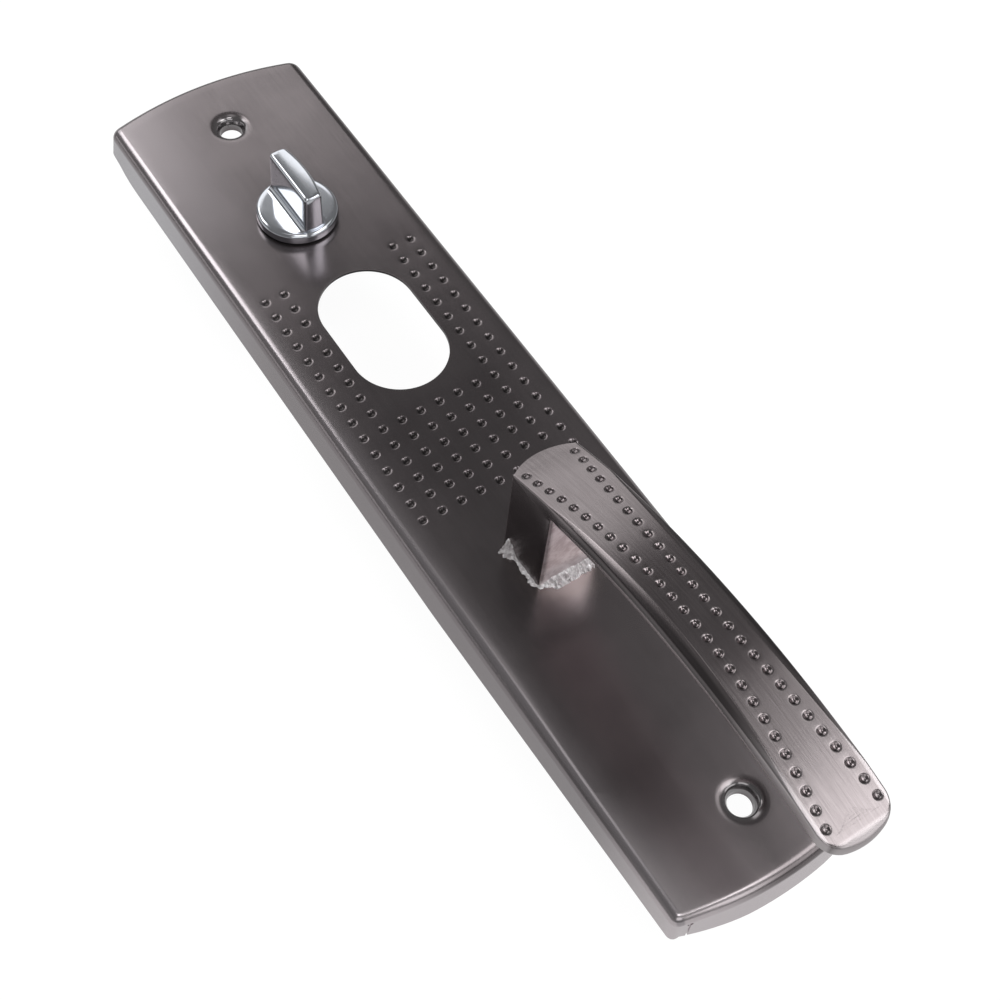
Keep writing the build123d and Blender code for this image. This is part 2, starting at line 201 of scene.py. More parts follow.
def bow_radius(half_chord, rise):
    """Radius of the arc that rises by `rise` over twice `half_chord`."""
    return (half_chord ** 2 + rise ** 2) / (2 * rise)


def bulge(distance, radius):
    """Sagitta of an arc at a distance from its crown."""
    return radius - np.sqrt(radius ** 2 - np.asarray(distance, float) ** 2)


def steps(start, end, count):
    """Evenly spaced values from start to end, both included, in `count` steps."""
    return np.linspace(start, end, count + 1)


def joined(*runs):
    """Runs of values or points end to end, each but the first without its own first, which repeats a last."""
    return np.concatenate([runs[0]] + [run[1:] for run in runs[1:]])


def at(*parts):
    """Points from their coordinates, each an array or one number for all."""
    return np.stack(np.broadcast_arrays(*parts), -1)


def blend_rows(first, last, weights):
    """Grid of rows between two lines of points: row k is (1 - w_k) first + w_k last."""
    w = np.asarray(weights, float)[:, None, None]
    return (1 - w) * first[None] + w * last[None]


class Skin:
    """Collects grids of points as quads, welds their common points and makes one mesh.

    A grid may carry a second layer, the inner side of a sheet; the two are closed along their open edges.
    """

    def __init__(self):
        self.points = []
        self.inner = []
        self.quads = []
        self.count = 0

    def add(self, grid, inner=None, keep=None):
        """Adds a rows x columns x 3 grid. `keep` masks the quads to leave out where it is False."""
        rows, columns = grid.shape[:2]
        index = np.arange(rows * columns).reshape(rows, columns) + self.count
        quads = np.stack([index[:-1, :-1], index[:-1, 1:], index[1:, 1:], index[1:, :-1]], -1)
        if keep is not None:
            quads = quads[keep]
        self.quads.append(quads.reshape(-1, 4))
        self.points.append(grid.reshape(-1, 3))
        if inner is not None:
            self.inner.append(inner.reshape(-1, 3))
        self.count += rows * columns

    def welded(self):
        """Points, inner points and quads with coincident points made one."""
        points = np.concatenate(self.points)
        key = np.round(points / JOIN_GRID + JOIN_SHIFT).astype(np.int64)
        _, first, back = np.unique(key, axis=0, return_index=True, return_inverse=True)
        quads = back.reshape(-1)[np.concatenate(self.quads)]
        inner = np.concatenate(self.inner)[first] if self.inner else None
        return points[first], inner, quads

    def mesh(self, name, smooth_angle=40.0, shape=None):
        """The finished object, faces outwards, with edges sharper than the angle kept sharp.

        `shape` moves the points last of all, when every grid is joined.
        """
        points, inner, quads = self.welded()
        if inner is not None:
            edges = np.concatenate([quads[:, [k, (k + 1) % 4]] for k in range(4)])
            edges = edges[edges[:, 0] != edges[:, 1]]
            code = np.sort(edges, 1) @ np.array([len(points), 1])
            _, where, times = np.unique(code, return_index=True, return_counts=True)
            rim = edges[where[times == 1]]
            other = len(points)
            walls = np.stack([rim[:, 1], rim[:, 0], rim[:, 0] + other, rim[:, 1] + other], -1)
            quads = np.concatenate([quads, quads[:, ::-1] + other, walls])
            points = np.concatenate([points, inner])
        if shape is not None:
            points = shape(points)
        return build_mesh(name, points, quads, smooth_angle)


def build_mesh(name, points, quads, smooth_angle=40.0):
    """Mesh object from points in millimetres and quads, whose repeated corners make triangles."""
    data = bpy.data.meshes.new(name)
    faces = [tuple(dict.fromkeys(q)) for q in quads.tolist()]
    faces = [f for f in faces if len(f) > 2]
    data.from_pydata((points * MM).tolist(), [], faces)
    work = bmesh.new()
    work.from_mesh(data)
    bmesh.ops.remove_doubles(work, verts=work.verts, dist=1e-7)
    bmesh.ops.recalc_face_normals(work, faces=work.faces)
    loose = [v for v in work.verts if not v.link_faces]
    bmesh.ops.delete(work, geom=loose, context="VERTS")
    work.to_mesh(data)
    work.free()
    data.polygons.foreach_set("use_smooth", np.ones(len(data.polygons), bool))
    data.set_sharp_from_angle(angle=math.radians(smooth_angle))
    piece = bpy.data.objects.new(name, data)
    bpy.context.scene.collection.objects.link(piece)
    return piece


def softened(corners, cuts, count):
    """Polyline whose inner corners become parabolas: B(t) = (1-t)^2 A + 2t(1-t) P + t^2 C.

    `corners` is columns x K x 3. A and C lie `cut` before and after corner P, at most 0.48 of each side.
    """
    rows = [corners[:, 0]]
    t = np.linspace(0, 1, count + 1)[None, :, None]
    for k in range(1, corners.shape[1] - 1):
        before, here, after = corners[:, k - 1], corners[:, k], corners[:, k + 1]
        back, on = before - here, after - here
        back_length = np.linalg.norm(back, axis=1, keepdims=True) + 1e-9
        on_length = np.linalg.norm(on, axis=1, keepdims=True) + 1e-9
        cut = np.reshape(cuts[k - 1], (-1, 1))
        start = here + back / back_length * np.minimum(cut, 0.48 * back_length)
        end = here + on / on_length * np.minimum(cut, 0.48 * on_length)
        curve = (1 - t) ** 2 * start[:, None] + 2 * t * (1 - t) * here[:, None] + t ** 2 * end[:, None]
        rows += [curve[:, j] for j in range(count + 1)]
    rows.append(corners[:, -1])
    return np.stack(rows, 1)


# Face plate
END_RADIUS = bow_radius(PLATE_HALF_WIDTH, END_RISE)
END_CENTRE_Y = PLATE_HALF_LENGTH - END_RADIUS
CORNER_X = PLATE_HALF_WIDTH - CORNER_RADIUS
CORNER_Y = END_CENTRE_Y + math.sqrt((END_RADIUS - CORNER_RADIUS) ** 2 - CORNER_X ** 2)
CORNER_ANGLE = math.atan2(CORNER_Y - END_CENTRE_Y, CORNER_X)
SLIT_X = CORNER_X - SLIT_OFFSET
FLAT_X = PLATE_HALF_WIDTH - FOLD_RADIUS
CELL_FIELD_X = DOT_COLUMNS / 2 * DOT_PITCH
CELL_FIELD_TOP = DOT_TOP_Y + DOT_PITCH / 2
CELL_FIELD_BOTTOM = CELL_FIELD_TOP - DOT_ROWS * DOT_PITCH


def end_outline():
    """Top end of the outline, right corner to left: points, normals and which side of a slit each lies."""
    corner = steps(0, CORNER_ANGLE, 5)
    slit = math.acos(SLIT_X / END_RADIUS)
    bow = joined(steps(CORNER_ANGLE, slit, 2), steps(slit, math.pi - slit, 24),
                 steps(math.pi - slit, math.pi - CORNER_ANGLE, 2))
    bow = np.insert(bow, [3, len(bow) - 3], [bow[2], bow[-3]])
    angle = np.concatenate([corner[:-1], bow, math.pi - corner[:-1][::-1]])
    side = np.zeros(len(angle))
    first = len(corner) - 1 + 2
    side[first], side[first + 1] = -1, 1
    side[-first - 2], side[-first - 1] = -1, 1
    normal = at(np.cos(angle), np.sin(angle))
    centre = np.zeros_like(normal)
    radius = np.full(len(angle), END_RADIUS)
    centre[:, 1] = END_CENTRE_Y
    turn = len(corner) - 1
    for part, x in ((slice(0, turn), CORNER_X), (slice(len(angle) - turn, None), -CORNER_X)):
        centre[part] = (x, CORNER_Y)
        radius[part] = CORNER_RADIUS
    return centre + normal * radius[:, None], normal, side


def wall_profile():
    """Rows of the fold and wall, from face to foot: how far out from the outline, and height, for each skin.

    The fold is a quarter circle, the wall a straight run with rows set close round the slit's relief.
    """
    turn = steps(0, math.pi / 2, 8)
    outer = at(FOLD_RADIUS * np.sin(turn) - FOLD_RADIUS, RIM_DEPTH - FOLD_RADIUS * (1 - np.cos(turn)))
    small = FOLD_RADIUS - SHEET
    inner = at(small * np.sin(turn) - FOLD_RADIUS, RIM_DEPTH - SHEET - small * (1 - np.cos(turn)))
    middle = RIM_DEPTH - FOLD_RADIUS - RELIEF_RADIUS
    relief = middle + RELIEF_RADIUS * np.cos(steps(0, RELIEF_TURN, 8))[1:]
    z = np.concatenate([relief, steps(relief[-1], 0, 6)[1:]])
    outer = np.concatenate([outer, at(0.0, z)])
    inner = np.concatenate([inner, at(-SHEET, z)])
    gap = np.where(outer[:, 1] >= middle + RELIEF_RADIUS - 1e-6, 0.0, SLIT_HALF_WIDTH)
    near = np.abs(outer[:, 1] - middle) < RELIEF_RADIUS
    round_gap = np.sqrt(np.clip(RELIEF_RADIUS ** 2 - (outer[:, 1] - middle) ** 2, 0, None))
    gap = np.where(near & (outer[:, 1] > relief[-1] + 1e-6), round_gap, gap)
    return outer, inner, gap


def foot_lean(base, normal):
    """How far the wall's foot stands out from its fold: sides flare out but less towards the grip's end,
    and the corners lean towards the thumb-turn's end."""
    x, y = np.abs(base[:, 0]), base[:, 1]
    toward = np.clip((FLARE_START_Y - y) / (PLATE_HALF_LENGTH + FLARE_START_Y), 0, 1)
    sides = WALL_FLARE - PINCH * toward
    share = np.clip((x - LEAN_START_X) / (PLATE_HALF_WIDTH - LEAN_START_X), 0, 1)
    ends = END_LEAN * np.sign(normal[:, 1]) * share ** LEAN_POWER
    return sides * np.abs(normal[:, 0]) ** 3 + ends * np.abs(normal[:, 1]) ** 3


def wall_grid(base, normal, side, profile, gap):
    """Fold and wall carried along the outline: P = base + n (out + lean (1 - z / depth)) + tangent * gap."""
    out, z = profile[:, None, 0], profile[:, None, 1]
    lean = foot_lean(base, normal)[None] * (1 - z / RIM_DEPTH)
    tangent = at(-normal[:, 1], normal[:, 0])
    plan = base[None] + normal[None] * (out + lean)[..., None]
    plan = plan + tangent[None] * (gap[:, None] * side)[..., None]
    across, along = CORNER_CUT_REACH
    off_side, off_corner = base[:, 0] ** 2 - PLATE_HALF_WIDTH ** 2, base[:, 1] - CORNER_Y
    near = np.exp(-(off_side / across) ** 2 - (off_corner / along) ** 2)
    height = z + CORNER_CUT * near[None] * np.clip(1 - z / (RIM_DEPTH - FOLD_RADIUS), 0, 1)
    return np.concatenate([plan, height[..., None]], -1)


def settled(points):
    """The sheet as it comes out of the press: a slight crown, sides that roll off before their folds, more so
    towards the grip's end, whose fold lies a little further in than its foot. All fade out to the foot."""
    x, y, z = points.T
    high = np.clip(z / RIM_DEPTH, 0, 1)
    fade = np.clip((ROLL_END_Y - np.abs(y)) / ROLL_FADE, 0, 1)
    growth = np.clip((ROLL_GROWTH_Y - y) / ROLL_GROWTH_RUN, 0, 1)
    roll = (ROLL + ROLL_GROWTH * growth) * fade ** 2 * (3 - 2 * fade)
    beyond = np.clip((np.abs(x) - CELL_FIELD_X) / (PLATE_HALF_WIDTH - CELL_FIELD_X), 0, 1)
    drop = CROWN * (x / PLATE_HALF_WIDTH) ** 2 + roll * beyond ** 2
    tuck = np.clip((TUCK_START_Y - y) / (PLATE_HALF_LENGTH - FOLD_RADIUS + TUCK_START_Y), 0, 1)
    return at(x, y + END_TUCK * tuck * high, z - drop * high ** 2)


def flat_pair(plan):
    """A flat stretch of the face: the same plan at the face's height and one sheet lower."""
    shape = plan.shape[:2] + (1,)
    top = np.concatenate([plan, np.full(shape, RIM_DEPTH)], -1)
    return top, np.concatenate([plan, np.full(shape, RIM_DEPTH - SHEET)], -1)


def cell_outline(left, right, bottom, top):
    """Closed run of points round a cell's rectangle, from its lower left corner and back to it."""
    across, up = steps(left, right, CELL_STEPS), steps(bottom, top, CELL_STEPS)
    return joined(at(across, bottom), at(right, up), at(across[::-1], top), at(left, up[::-1]))


PIT_STEPS = np.array([0.0, 0.22, 0.42, 0.6, 0.75, 0.9, 1.05, 1.25, 1.5])


def pit_grid(outline, centre, radius, reach):
    """Circles round a pit that open out to its cell's outline: plan points and distance over radius."""
    away = outline - centre
    away = away / np.linalg.norm(away, axis=1, keepdims=True)
    rings = np.append(PIT_STEPS * radius, reach)
    circles = centre + rings[:, None, None] * away[None]
    ratio = np.append(PIT_STEPS, reach / radius)
    plan = np.concatenate([circles, outline[None]])
    return plan, np.append(ratio, OUTSIDE_PITS)


def pit_drop(ratio):
    """Depth of a pressed pit over its full depth: exp(-(r/a)^shoulder), round below and soft at its rim."""
    return np.exp(-np.asarray(ratio) ** PIT_SHOULDER)


def circle_facing(outline, centre, radius):
    """Points on a circle in the directions of the outline's points."""
    away = outline - centre
    return centre + radius * away / np.linalg.norm(away, axis=1, keepdims=True)


def dish_profile():
    """Screw seat from its hole to its lip: radii and depths of a soft-cornered funnel."""
    corners = np.array([[(SCREW_HOLE_RADIUS, DISH_DEPTH), *DISH_CORNERS]])
    curve = softened(corners, DISH_CUTS, 8)[0]
    return curve[:, 0], curve[:, 1]


def end_patch(skin, sign, line_x, side_y):
    """One end of the face: the dished screw seat, opened out to the sides and the bowed end."""
    base, normal, _ = end_outline()
    bow = base - normal * FOLD_RADIUS
    right = at(FLAT_X, side_y)
    outline = joined(at(line_x, DISH_PATCH_START), right, bow, (right * (-1, 1))[::-1])
    centre = np.array([0.0, SCREW_Y])
    radii, depths = dish_profile()
    rings = np.stack([circle_facing(outline, centre, r) for r in radii])
    opening = blend_rows(rings[-1], outline, steps(0, 1, 6)[1:])
    plan = np.concatenate([rings, opening]) * (1, sign)
    drop = np.concatenate([depths, np.zeros(6)])[:, None, None]
    top, inner = flat_pair(plan)
    top[..., 2:] -= drop
    inner[..., 2:] -= drop
    skin.add(top, inner)


def face_plate_skin():
    """The plate as one closed sheet: patches of the face, then fold and wall along the outline."""
    skin = Skin()
    field = steps(-CELL_FIELD_X, CELL_FIELD_X, DOT_COLUMNS * CELL_STEPS)
    strip = steps(CELL_FIELD_X, FLAT_X, 4)
    line_x = joined(-strip[::-1], field, strip)
    field_y = steps(CELL_FIELD_BOTTOM, CELL_FIELD_TOP, DOT_ROWS * CELL_STEPS)
    knob_sides = steps(CELL_FIELD_TOP, KNOB_PATCH_TOP, 10)

    middle = DOT_COLUMNS // 2
    for row in range(DOT_ROWS):
        for column in range(DOT_COLUMNS):
            if row < LOCK_ROWS and abs(column - middle) <= LOCK_COLUMNS:
                continue
            i, j = column * CELL_STEPS, (DOT_ROWS - 1 - row) * CELL_STEPS
            x, y = field[i:i + CELL_STEPS + 1], field_y[j:j + CELL_STEPS + 1]
            outline = cell_outline(x[0], x[-1], y[0], y[-1])
            centre = np.array([(x[0] + x[-1]) / 2, (y[0] + y[-1]) / 2])
            plan, ratio = pit_grid(outline, centre, FACE_PIT_RADIUS, FACE_PIT_REACH)
            top, inner = flat_pair(plan)
            top[..., 2] -= FACE_PIT_DEPTH * pit_drop(ratio)[:, None]
            inner[..., 2] -= PIT_BACK_SHARE * FACE_PIT_DEPTH * pit_drop(ratio / PIT_BACK_SPREAD)[:, None]
            skin.add(top, inner)

    for sign in (-1, 1):
        for side_y in (field_y, knob_sides):
            skin.add(*flat_pair(at(strip * sign, side_y[:, None])))

    half = (LOCK_COLUMNS + 0.5) * DOT_PITCH
    i, j = (middle - LOCK_COLUMNS) * CELL_STEPS, (DOT_ROWS - LOCK_ROWS) * CELL_STEPS
    across, up = field[i:i + (2 * LOCK_COLUMNS + 1) * CELL_STEPS + 1], field_y[j:]
    low, right = at(across, up[0]), at(half, up)
    outline = joined(low, right, low[::-1] * (1, 0) + (0, up[-1]), right[::-1] * (-1, 1))
    straight = LOCK_HALF_LENGTH - LOCK_HALF_WIDTH
    spine = at(0.0, np.clip(outline[:, 1], LOCK_Y - straight, LOCK_Y + straight))
    opening = circle_facing(outline, spine, LOCK_HALF_WIDTH)
    skin.add(*flat_pair(blend_rows(opening, outline, LOCK_ROWS_OUT)))

    low, right = at(field, CELL_FIELD_TOP), at(CELL_FIELD_X, knob_sides)
    outline = joined(low, right, low[::-1] * (1, 0) + (0, KNOB_PATCH_TOP), right[::-1] * (-1, 1))
    circle = circle_facing(outline, np.array([0.0, KNOB_Y]), KNOB_HOLE_RADIUS)
    skin.add(*flat_pair(blend_rows(circle, outline, steps(0, 1, 6))))

    plain_y = steps(-DISH_PATCH_START, CELL_FIELD_BOTTOM, 20)
    skin.add(*flat_pair(at(line_x, plain_y[:, None])))

    dish_sides = steps(DISH_PATCH_START, CORNER_Y, 10)
    for sign in (-1, 1):
        end_patch(skin, sign, line_x, dish_sides)

    outer, inner, gap = wall_profile()
    base, normal, side = end_outline()
    keep = np.ones((len(outer) - 1, len(base) - 1), bool)
    slits = np.flatnonzero((side[:-1] == -1) & (side[1:] == 1))
    keep[:, slits] = False
    for sign in (-1, 1):
        turned = base * (1, sign), normal * (1, sign), side * sign
        skin.add(wall_grid(*turned, outer, gap), wall_grid(*turned, inner, gap), keep)
    sides = joined(-dish_sides[::-1], plain_y, field_y, knob_sides, dish_sides)
    for sign in (-1, 1):
        base = at(float(PLATE_HALF_WIDTH * sign), sides)
        normal = np.broadcast_to([float(sign), 0.0], base.shape)
        none = np.zeros(len(sides))
        skin.add(wall_grid(base, normal, none, outer, gap), wall_grid(base, normal, none, inner, gap))
    return skin.mesh("face_plate_skin", shape=settled)


# Pull handle
ARCH_CENTRE_Z = GRIP_CROWN_Z - ARCH_RADIUS
FRONT_RADIUS = bow_radius(GRIP_HALF_WIDTH, POST_FRONT_RISE)
FREE_END_RADIUS = bow_radius(GRIP_HALF_WIDTH, END_BOW)


def arch_point(x, along, drop=0.0):
    """Point of the grip's top at x and a length along the arch from its crown, `drop` below the surface."""
    turn, radius = along / ARCH_RADIUS, ARCH_RADIUS - drop
    return at(x, GRIP_CROWN_Y + radius * np.sin(turn), ARCH_CENTRE_Z + radius * np.cos(turn))


def arch_height(y, drop=0.0):
    """Height of the arch at y, or of the arc `drop` below it."""
    return ARCH_CENTRE_Z + np.sqrt((ARCH_RADIUS - drop) ** 2 - (np.asarray(y) - GRIP_CROWN_Y) ** 2)


def circle_through(points):
    """Centre and radius of the circle through three points of a plane, from the two bisector equations."""
    a, b, c = np.asarray(points, float)
    rows = 2 * np.stack([b - a, c - a])
    centre = np.linalg.solve(rows, [b @ b - a @ a, c @ c - a @ a])
    return centre, np.linalg.norm(a - centre)


LONG_END_Y = GRIP_END_Y - UNDER_OVERRUN
UNDER_CENTRE, UNDER_RADIUS = circle_through([(LONG_END_Y, arch_height(LONG_END_Y, TIP_THICKNESS)),
                                             (GRIP_CROWN_Y, arch_height(GRIP_CROWN_Y, GRIP_THICKNESS)),
                                             (POST_BACK_Y, arch_height(POST_BACK_Y, GRIP_THICKNESS))])


def under_height(y):
    """Height of the grip's under side at y: an arc a little flatter than the top, thinner at the free end."""
    return UNDER_CENTRE[1] + np.sqrt(UNDER_RADIUS ** 2 - (np.asarray(y) - UNDER_CENTRE[0]) ** 2)


THROAT_Y = POST_BACK_Y - THROAT_RADIUS
THROAT_Z = under_height(THROAT_Y)
BOW_Y = POST_FRONT_Y - POST_FRONT_RISE


def along_at(y):
    """Length along the arch from the crown to y."""
    return ARCH_RADIUS * np.arcsin((np.asarray(y) - GRIP_CROWN_Y) / ARCH_RADIUS)


def crease_half(y):
    """Half width of the web between its creases at y, kept a little inside the edge."""
    return np.minimum(WAIST_HALF_WIDTH + bulge(y - WAIST_Y, CREASE_RADIUS), GRIP_HALF_WIDTH - EDGE_INSET)


def dot_line(y):
    """Distance from the middle to each line of dots at y."""
    return DOT_LINE_HALF + bulge(y - DOT_LINE_Y, DOT_LINE_RADIUS)


def free_end_plan(count):
    """Free end's outline in plan from its right side to its left: points and outward normals.

    A bow of radius R between two corner arcs; the first and last points lie where the last cells end.
    """
    centre_y = GRIP_END_Y + FREE_END_RADIUS
    corner_x = GRIP_HALF_WIDTH - END_CORNER
    corner_y = centre_y - math.sqrt((FREE_END_RADIUS - END_CORNER) ** 2 - corner_x ** 2)
    turn = math.atan2(centre_y - corner_y, corner_x)
    last_y = arch_point(0.0, along_at(GRIP_DOT_FIRST_Y) - (GRIP_DOT_ROWS - 0.5) * GRIP_DOT_PITCH)[1]
    start = math.asin(max(0.0, (corner_y - last_y) / END_CORNER))
    corner_count = 6
    corner = steps(start, turn, corner_count)
    bow = steps(turn, math.pi - turn, count - 2 * corner_count)
    angle = joined(corner, bow, math.pi - corner[::-1])
    normal = at(np.cos(angle), -np.sin(angle))
    centre = np.zeros_like(normal)
    centre[:, 1] = centre_y
    centre[:corner_count + 1] = (corner_x, corner_y)
    centre[-corner_count - 1:] = (-corner_x, corner_y)
    radius = np.full(len(angle), FREE_END_RADIUS)
    radius[:corner_count + 1] = END_CORNER
    radius[-corner_count - 1:] = END_CORNER
    return centre + normal * radius[:, None], normal


def grip_band(edge, normal, inset, drop, under_cut, top_cut, crease_cut, lower, on_arch=False):
    """Rounded side of the handle: from web or front, over crease and edge, down the side, to the lower side.

    `edge` is the outer upper edge, `inset` and `drop` give the crease from it, `lower` the lower outer
    corner. The corners become parabolas. `on_arch` puts crease and web on the arch's height.
    """
    inward = -np.concatenate([normal, np.zeros((len(normal), 1))], 1)
    crease = edge + inward * inset[:, None] + drop
    web = crease + inward * (crease_cut + WEB_MARGIN)[:, None]
    if on_arch:
        crease[:, 2], web[:, 2] = arch_height(crease[:, 1]), arch_height(web[:, 1])
    under = lower + inward * (POST_BEND + 0.1)
    corners = np.stack([web, crease, edge, lower, under], 1)
    return softened(corners, [crease_cut, top_cut, under_cut], 4)


def handle_cells():
    """Lengths along the arch of the cells' lines, from the free end's last cell to the post's first."""
    first = along_at(GRIP_DOT_FIRST_Y) + GRIP_DOT_PITCH / 2
    return steps(first - GRIP_DOT_ROWS * GRIP_DOT_PITCH, first, GRIP_DOT_ROWS * CELL_STEPS)


def grip_edge(y, end_plan, end_normal):
    """Upper edge of the grip's right side at each cell line, and how far inside it the crease lies."""
    corner_x, corner_y = GRIP_HALF_WIDTH - END_CORNER, end_plan[0, 1] + END_CORNER * -end_normal[0, 1]
    below = np.clip(corner_y - y, 0, END_CORNER)
    rounded = corner_x + np.sqrt(END_CORNER ** 2 - below ** 2)
    half = np.where(y < GRIP_END_Y + END_NARROWS, rounded, GRIP_HALF_WIDTH)
    inset = half - np.minimum(crease_half(y), half - EDGE_INSET)
    return at(half, y, arch_height(y) - inset * BEVEL_SLOPE), inset


def grip_under_edge(half, y):
    """Lower edge of the grip's right side, under the arch and into the throat's arc, and its rounding."""
    throat = y > THROAT_Y
    share = np.where(throat, (y - THROAT_Y) / (y[-1] - THROAT_Y), 0)
    turn = share * THROAT_SHARE
    low_y = np.where(throat, THROAT_Y + THROAT_RADIUS * np.sin(turn), y)
    low_z = np.where(throat, THROAT_Z - THROAT_RADIUS * (1 - np.cos(turn)), under_height(y))
    return at(half, low_y, low_z), UNDER_CUT + (POST_BEND - UNDER_CUT) * share


def front_edge(last_y):
    """Upper edge from the last cell line over the end and down the post's front, and how far it is round."""
    lower_rows = FRONT_ROWS - 2 * BEND_ROWS
    y = np.concatenate([steps(last_y, BOW_Y, BEND_ROWS)[1:], np.full(FRONT_ROWS - BEND_ROWS, BOW_Y)])
    round_it = np.concatenate([steps(0, 1, 2 * BEND_ROWS)[1:], np.ones(lower_rows)])
    z = arch_height(y) - front_drop() - EDGE_INSET * BEVEL_SLOPE * (1 - round_it)
    return at(GRIP_HALF_WIDTH, y, z), round_it


def front_drop():
    """How far each row of the front lies below the arch: none on the grip, then slow, then even steps."""
    bend, foot = FRONT_BEND_DROP, arch_height(BOW_Y) - FACE_Z
    return np.concatenate([np.zeros(BEND_ROWS), steps(0, bend, BEND_ROWS)[1:],
                           steps(bend, foot, FRONT_ROWS - 2 * BEND_ROWS)[1:]])


def back_edge():
    """Lower edge that faces the front's rows: the rest of the throat's arc, then down the post's back."""
    arc_rows = 2 * BEND_ROWS
    straight_rows = FRONT_ROWS - arc_rows
    turn = np.concatenate([steps(THROAT_SHARE, math.pi / 2, arc_rows)[1:],
                           np.full(straight_rows, math.pi / 2)])
    z = np.concatenate([THROAT_Z - THROAT_RADIUS * (1 - np.cos(turn[:arc_rows])),
                        steps(THROAT_Z - THROAT_RADIUS, FACE_Z, straight_rows)[1:]])
    return at(GRIP_HALF_WIDTH, THROAT_Y + THROAT_RADIUS * np.sin(turn), z)


def side_band(y, end_plan, end_normal):
    """The handle's right side from the free end to the plate, as one band."""
    edge, inset = grip_edge(y, end_plan, end_normal)
    lower, under_cut = grip_under_edge(edge[:, 0], y)
    upper_end, round_it = front_edge(y[-1])
    bow_slope = GRIP_HALF_WIDTH / math.sqrt(FRONT_RADIUS ** 2 - GRIP_HALF_WIDTH ** 2)
    edge = np.concatenate([edge, upper_end])
    lower = np.concatenate([lower, back_edge()])
    count = len(edge)
    drop = np.concatenate([at(0.0, 0.0, inset * BEVEL_SLOPE),
                           at(0.0, EDGE_INSET * bow_slope * round_it,
                                  EDGE_INSET * BEVEL_SLOPE * (1 - round_it))])
    inset = np.concatenate([inset, np.full(FRONT_ROWS, EDGE_INSET)])
    under_cut = np.concatenate([under_cut, np.full(FRONT_ROWS, POST_BEND)])
    normal = np.broadcast_to([1.0, 0.0], (count, 2))
    return grip_band(edge, normal, inset, drop, under_cut, np.full(count, SIDE_EDGE),
                     np.full(count, CREASE_CUT), lower)


def free_end_band(end_plan, end_normal, side_column):
    """The same band turned round the free end, where its upper edge broadens by sin^2 towards the middle."""
    y = end_plan[:, 1]
    fullness = np.sin(np.linspace(0, math.pi, len(end_plan))) ** 2
    inset = EDGE_INSET + (END_EDGE * END_INSET_SHARE - EDGE_INSET) * fullness
    slope_drop = EDGE_INSET * BEVEL_SLOPE * (1 - fullness)
    edge = np.column_stack([end_plan, arch_height(y) - slope_drop])
    drop = at(0.0, 0.0, slope_drop + (arch_height(y + inset) - arch_height(y)) * fullness)
    lower = np.column_stack([end_plan, under_height(y)])
    band = grip_band(edge, end_normal, inset, drop, np.full(len(y), UNDER_CUT),
                     SIDE_EDGE + (END_EDGE - SIDE_EDGE) * fullness, CREASE_CUT + END_CREASE * fullness,
                     lower, True)
    band[0], band[-1] = side_column, side_column * (-1, 1, 1)
    return band


def dot_cell(middle_x, run):
    """Pit and its cell round a dot: points across and along the arch, and distances over the pit's radius."""
    ends = [at(steps(x - GRIP_CELL_HALF, x + GRIP_CELL_HALF, CELL_STEPS), along)
            for x, along in ((middle_x[0], run[0]), (middle_x[-1], run[-1]))]
    outside, inside = (at(middle_x + side * GRIP_CELL_HALF, run) for side in (1, -1))
    outline = joined(ends[0], outside, ends[1][::-1], inside[::-1])
    centre = np.array([middle_x[CELL_STEPS // 2], run[CELL_STEPS // 2]])
    return pit_grid(outline, centre, GRIP_PIT_RADIUS, GRIP_PIT_REACH)


def web(skin, cells, dots, web_half):
    """Top of the grip between its creases: outer strips, the middle strip and two rows of dot cells."""
    for sign in (-1, 1):
        outer_x = blend_rows(web_half[:, None], (dots + GRIP_CELL_HALF)[:, None], steps(0, 1, STRIP_STEPS))
        skin.add(arch_point(outer_x[..., 0].T * sign, cells[:, None]))
    inner_x = (dots - GRIP_CELL_HALF)[:, None] * steps(-1, 1, 2 * HALF_WEB_STEPS)[None]
    skin.add(arch_point(inner_x, cells[:, None]))
    for row in range(GRIP_DOT_ROWS):
        part = slice(row * CELL_STEPS, (row + 1) * CELL_STEPS + 1)
        plan, ratio = dot_cell(dots[part], cells[part])
        drop = GRIP_PIT_DEPTH * pit_drop(ratio)[:, None]
        for sign in (-1, 1):
            skin.add(arch_point(plan[..., 0] * sign, plan[..., 1], drop))


def web_line(dot_x, half):
    """Across line of the web at one of its ends, with the same breaks as the strips and cells."""
    inner, outer = dot_x - GRIP_CELL_HALF, dot_x + GRIP_CELL_HALF
    right = joined(steps(0, inner, HALF_WEB_STEPS), steps(inner, outer, CELL_STEPS),
                   steps(outer, half, STRIP_STEPS))
    return np.concatenate([-right[:0:-1], right])


def front_grid(edge_rows, scale):
    """Upper end and bowed front: rows between the sides' creases, each bowed out by the front's arc."""
    x = edge_rows[:, None, 0] * scale
    reach = np.concatenate([steps(0, 1, BEND_ROWS), np.ones(FRONT_ROWS - BEND_ROWS)])[:, None]
    y = edge_rows[:, None, 1] + reach * (bulge(edge_rows[:, None, 0], FRONT_RADIUS) - bulge(x, FRONT_RADIUS))
    drop = front_drop()
    down = np.concatenate([[0], drop / drop[-1]])[:, None]
    height, side_height = arch_height(y), arch_height(edge_rows[:, None, 1])
    over_the_bend = np.arange(len(edge_rows))[:, None] <= 2 * BEND_ROWS
    share = np.where(over_the_bend, 1.0, np.clip(1 - down, 0, 1))
    return at(x, y, edge_rows[:, None, 2] + (height - side_height) * share)


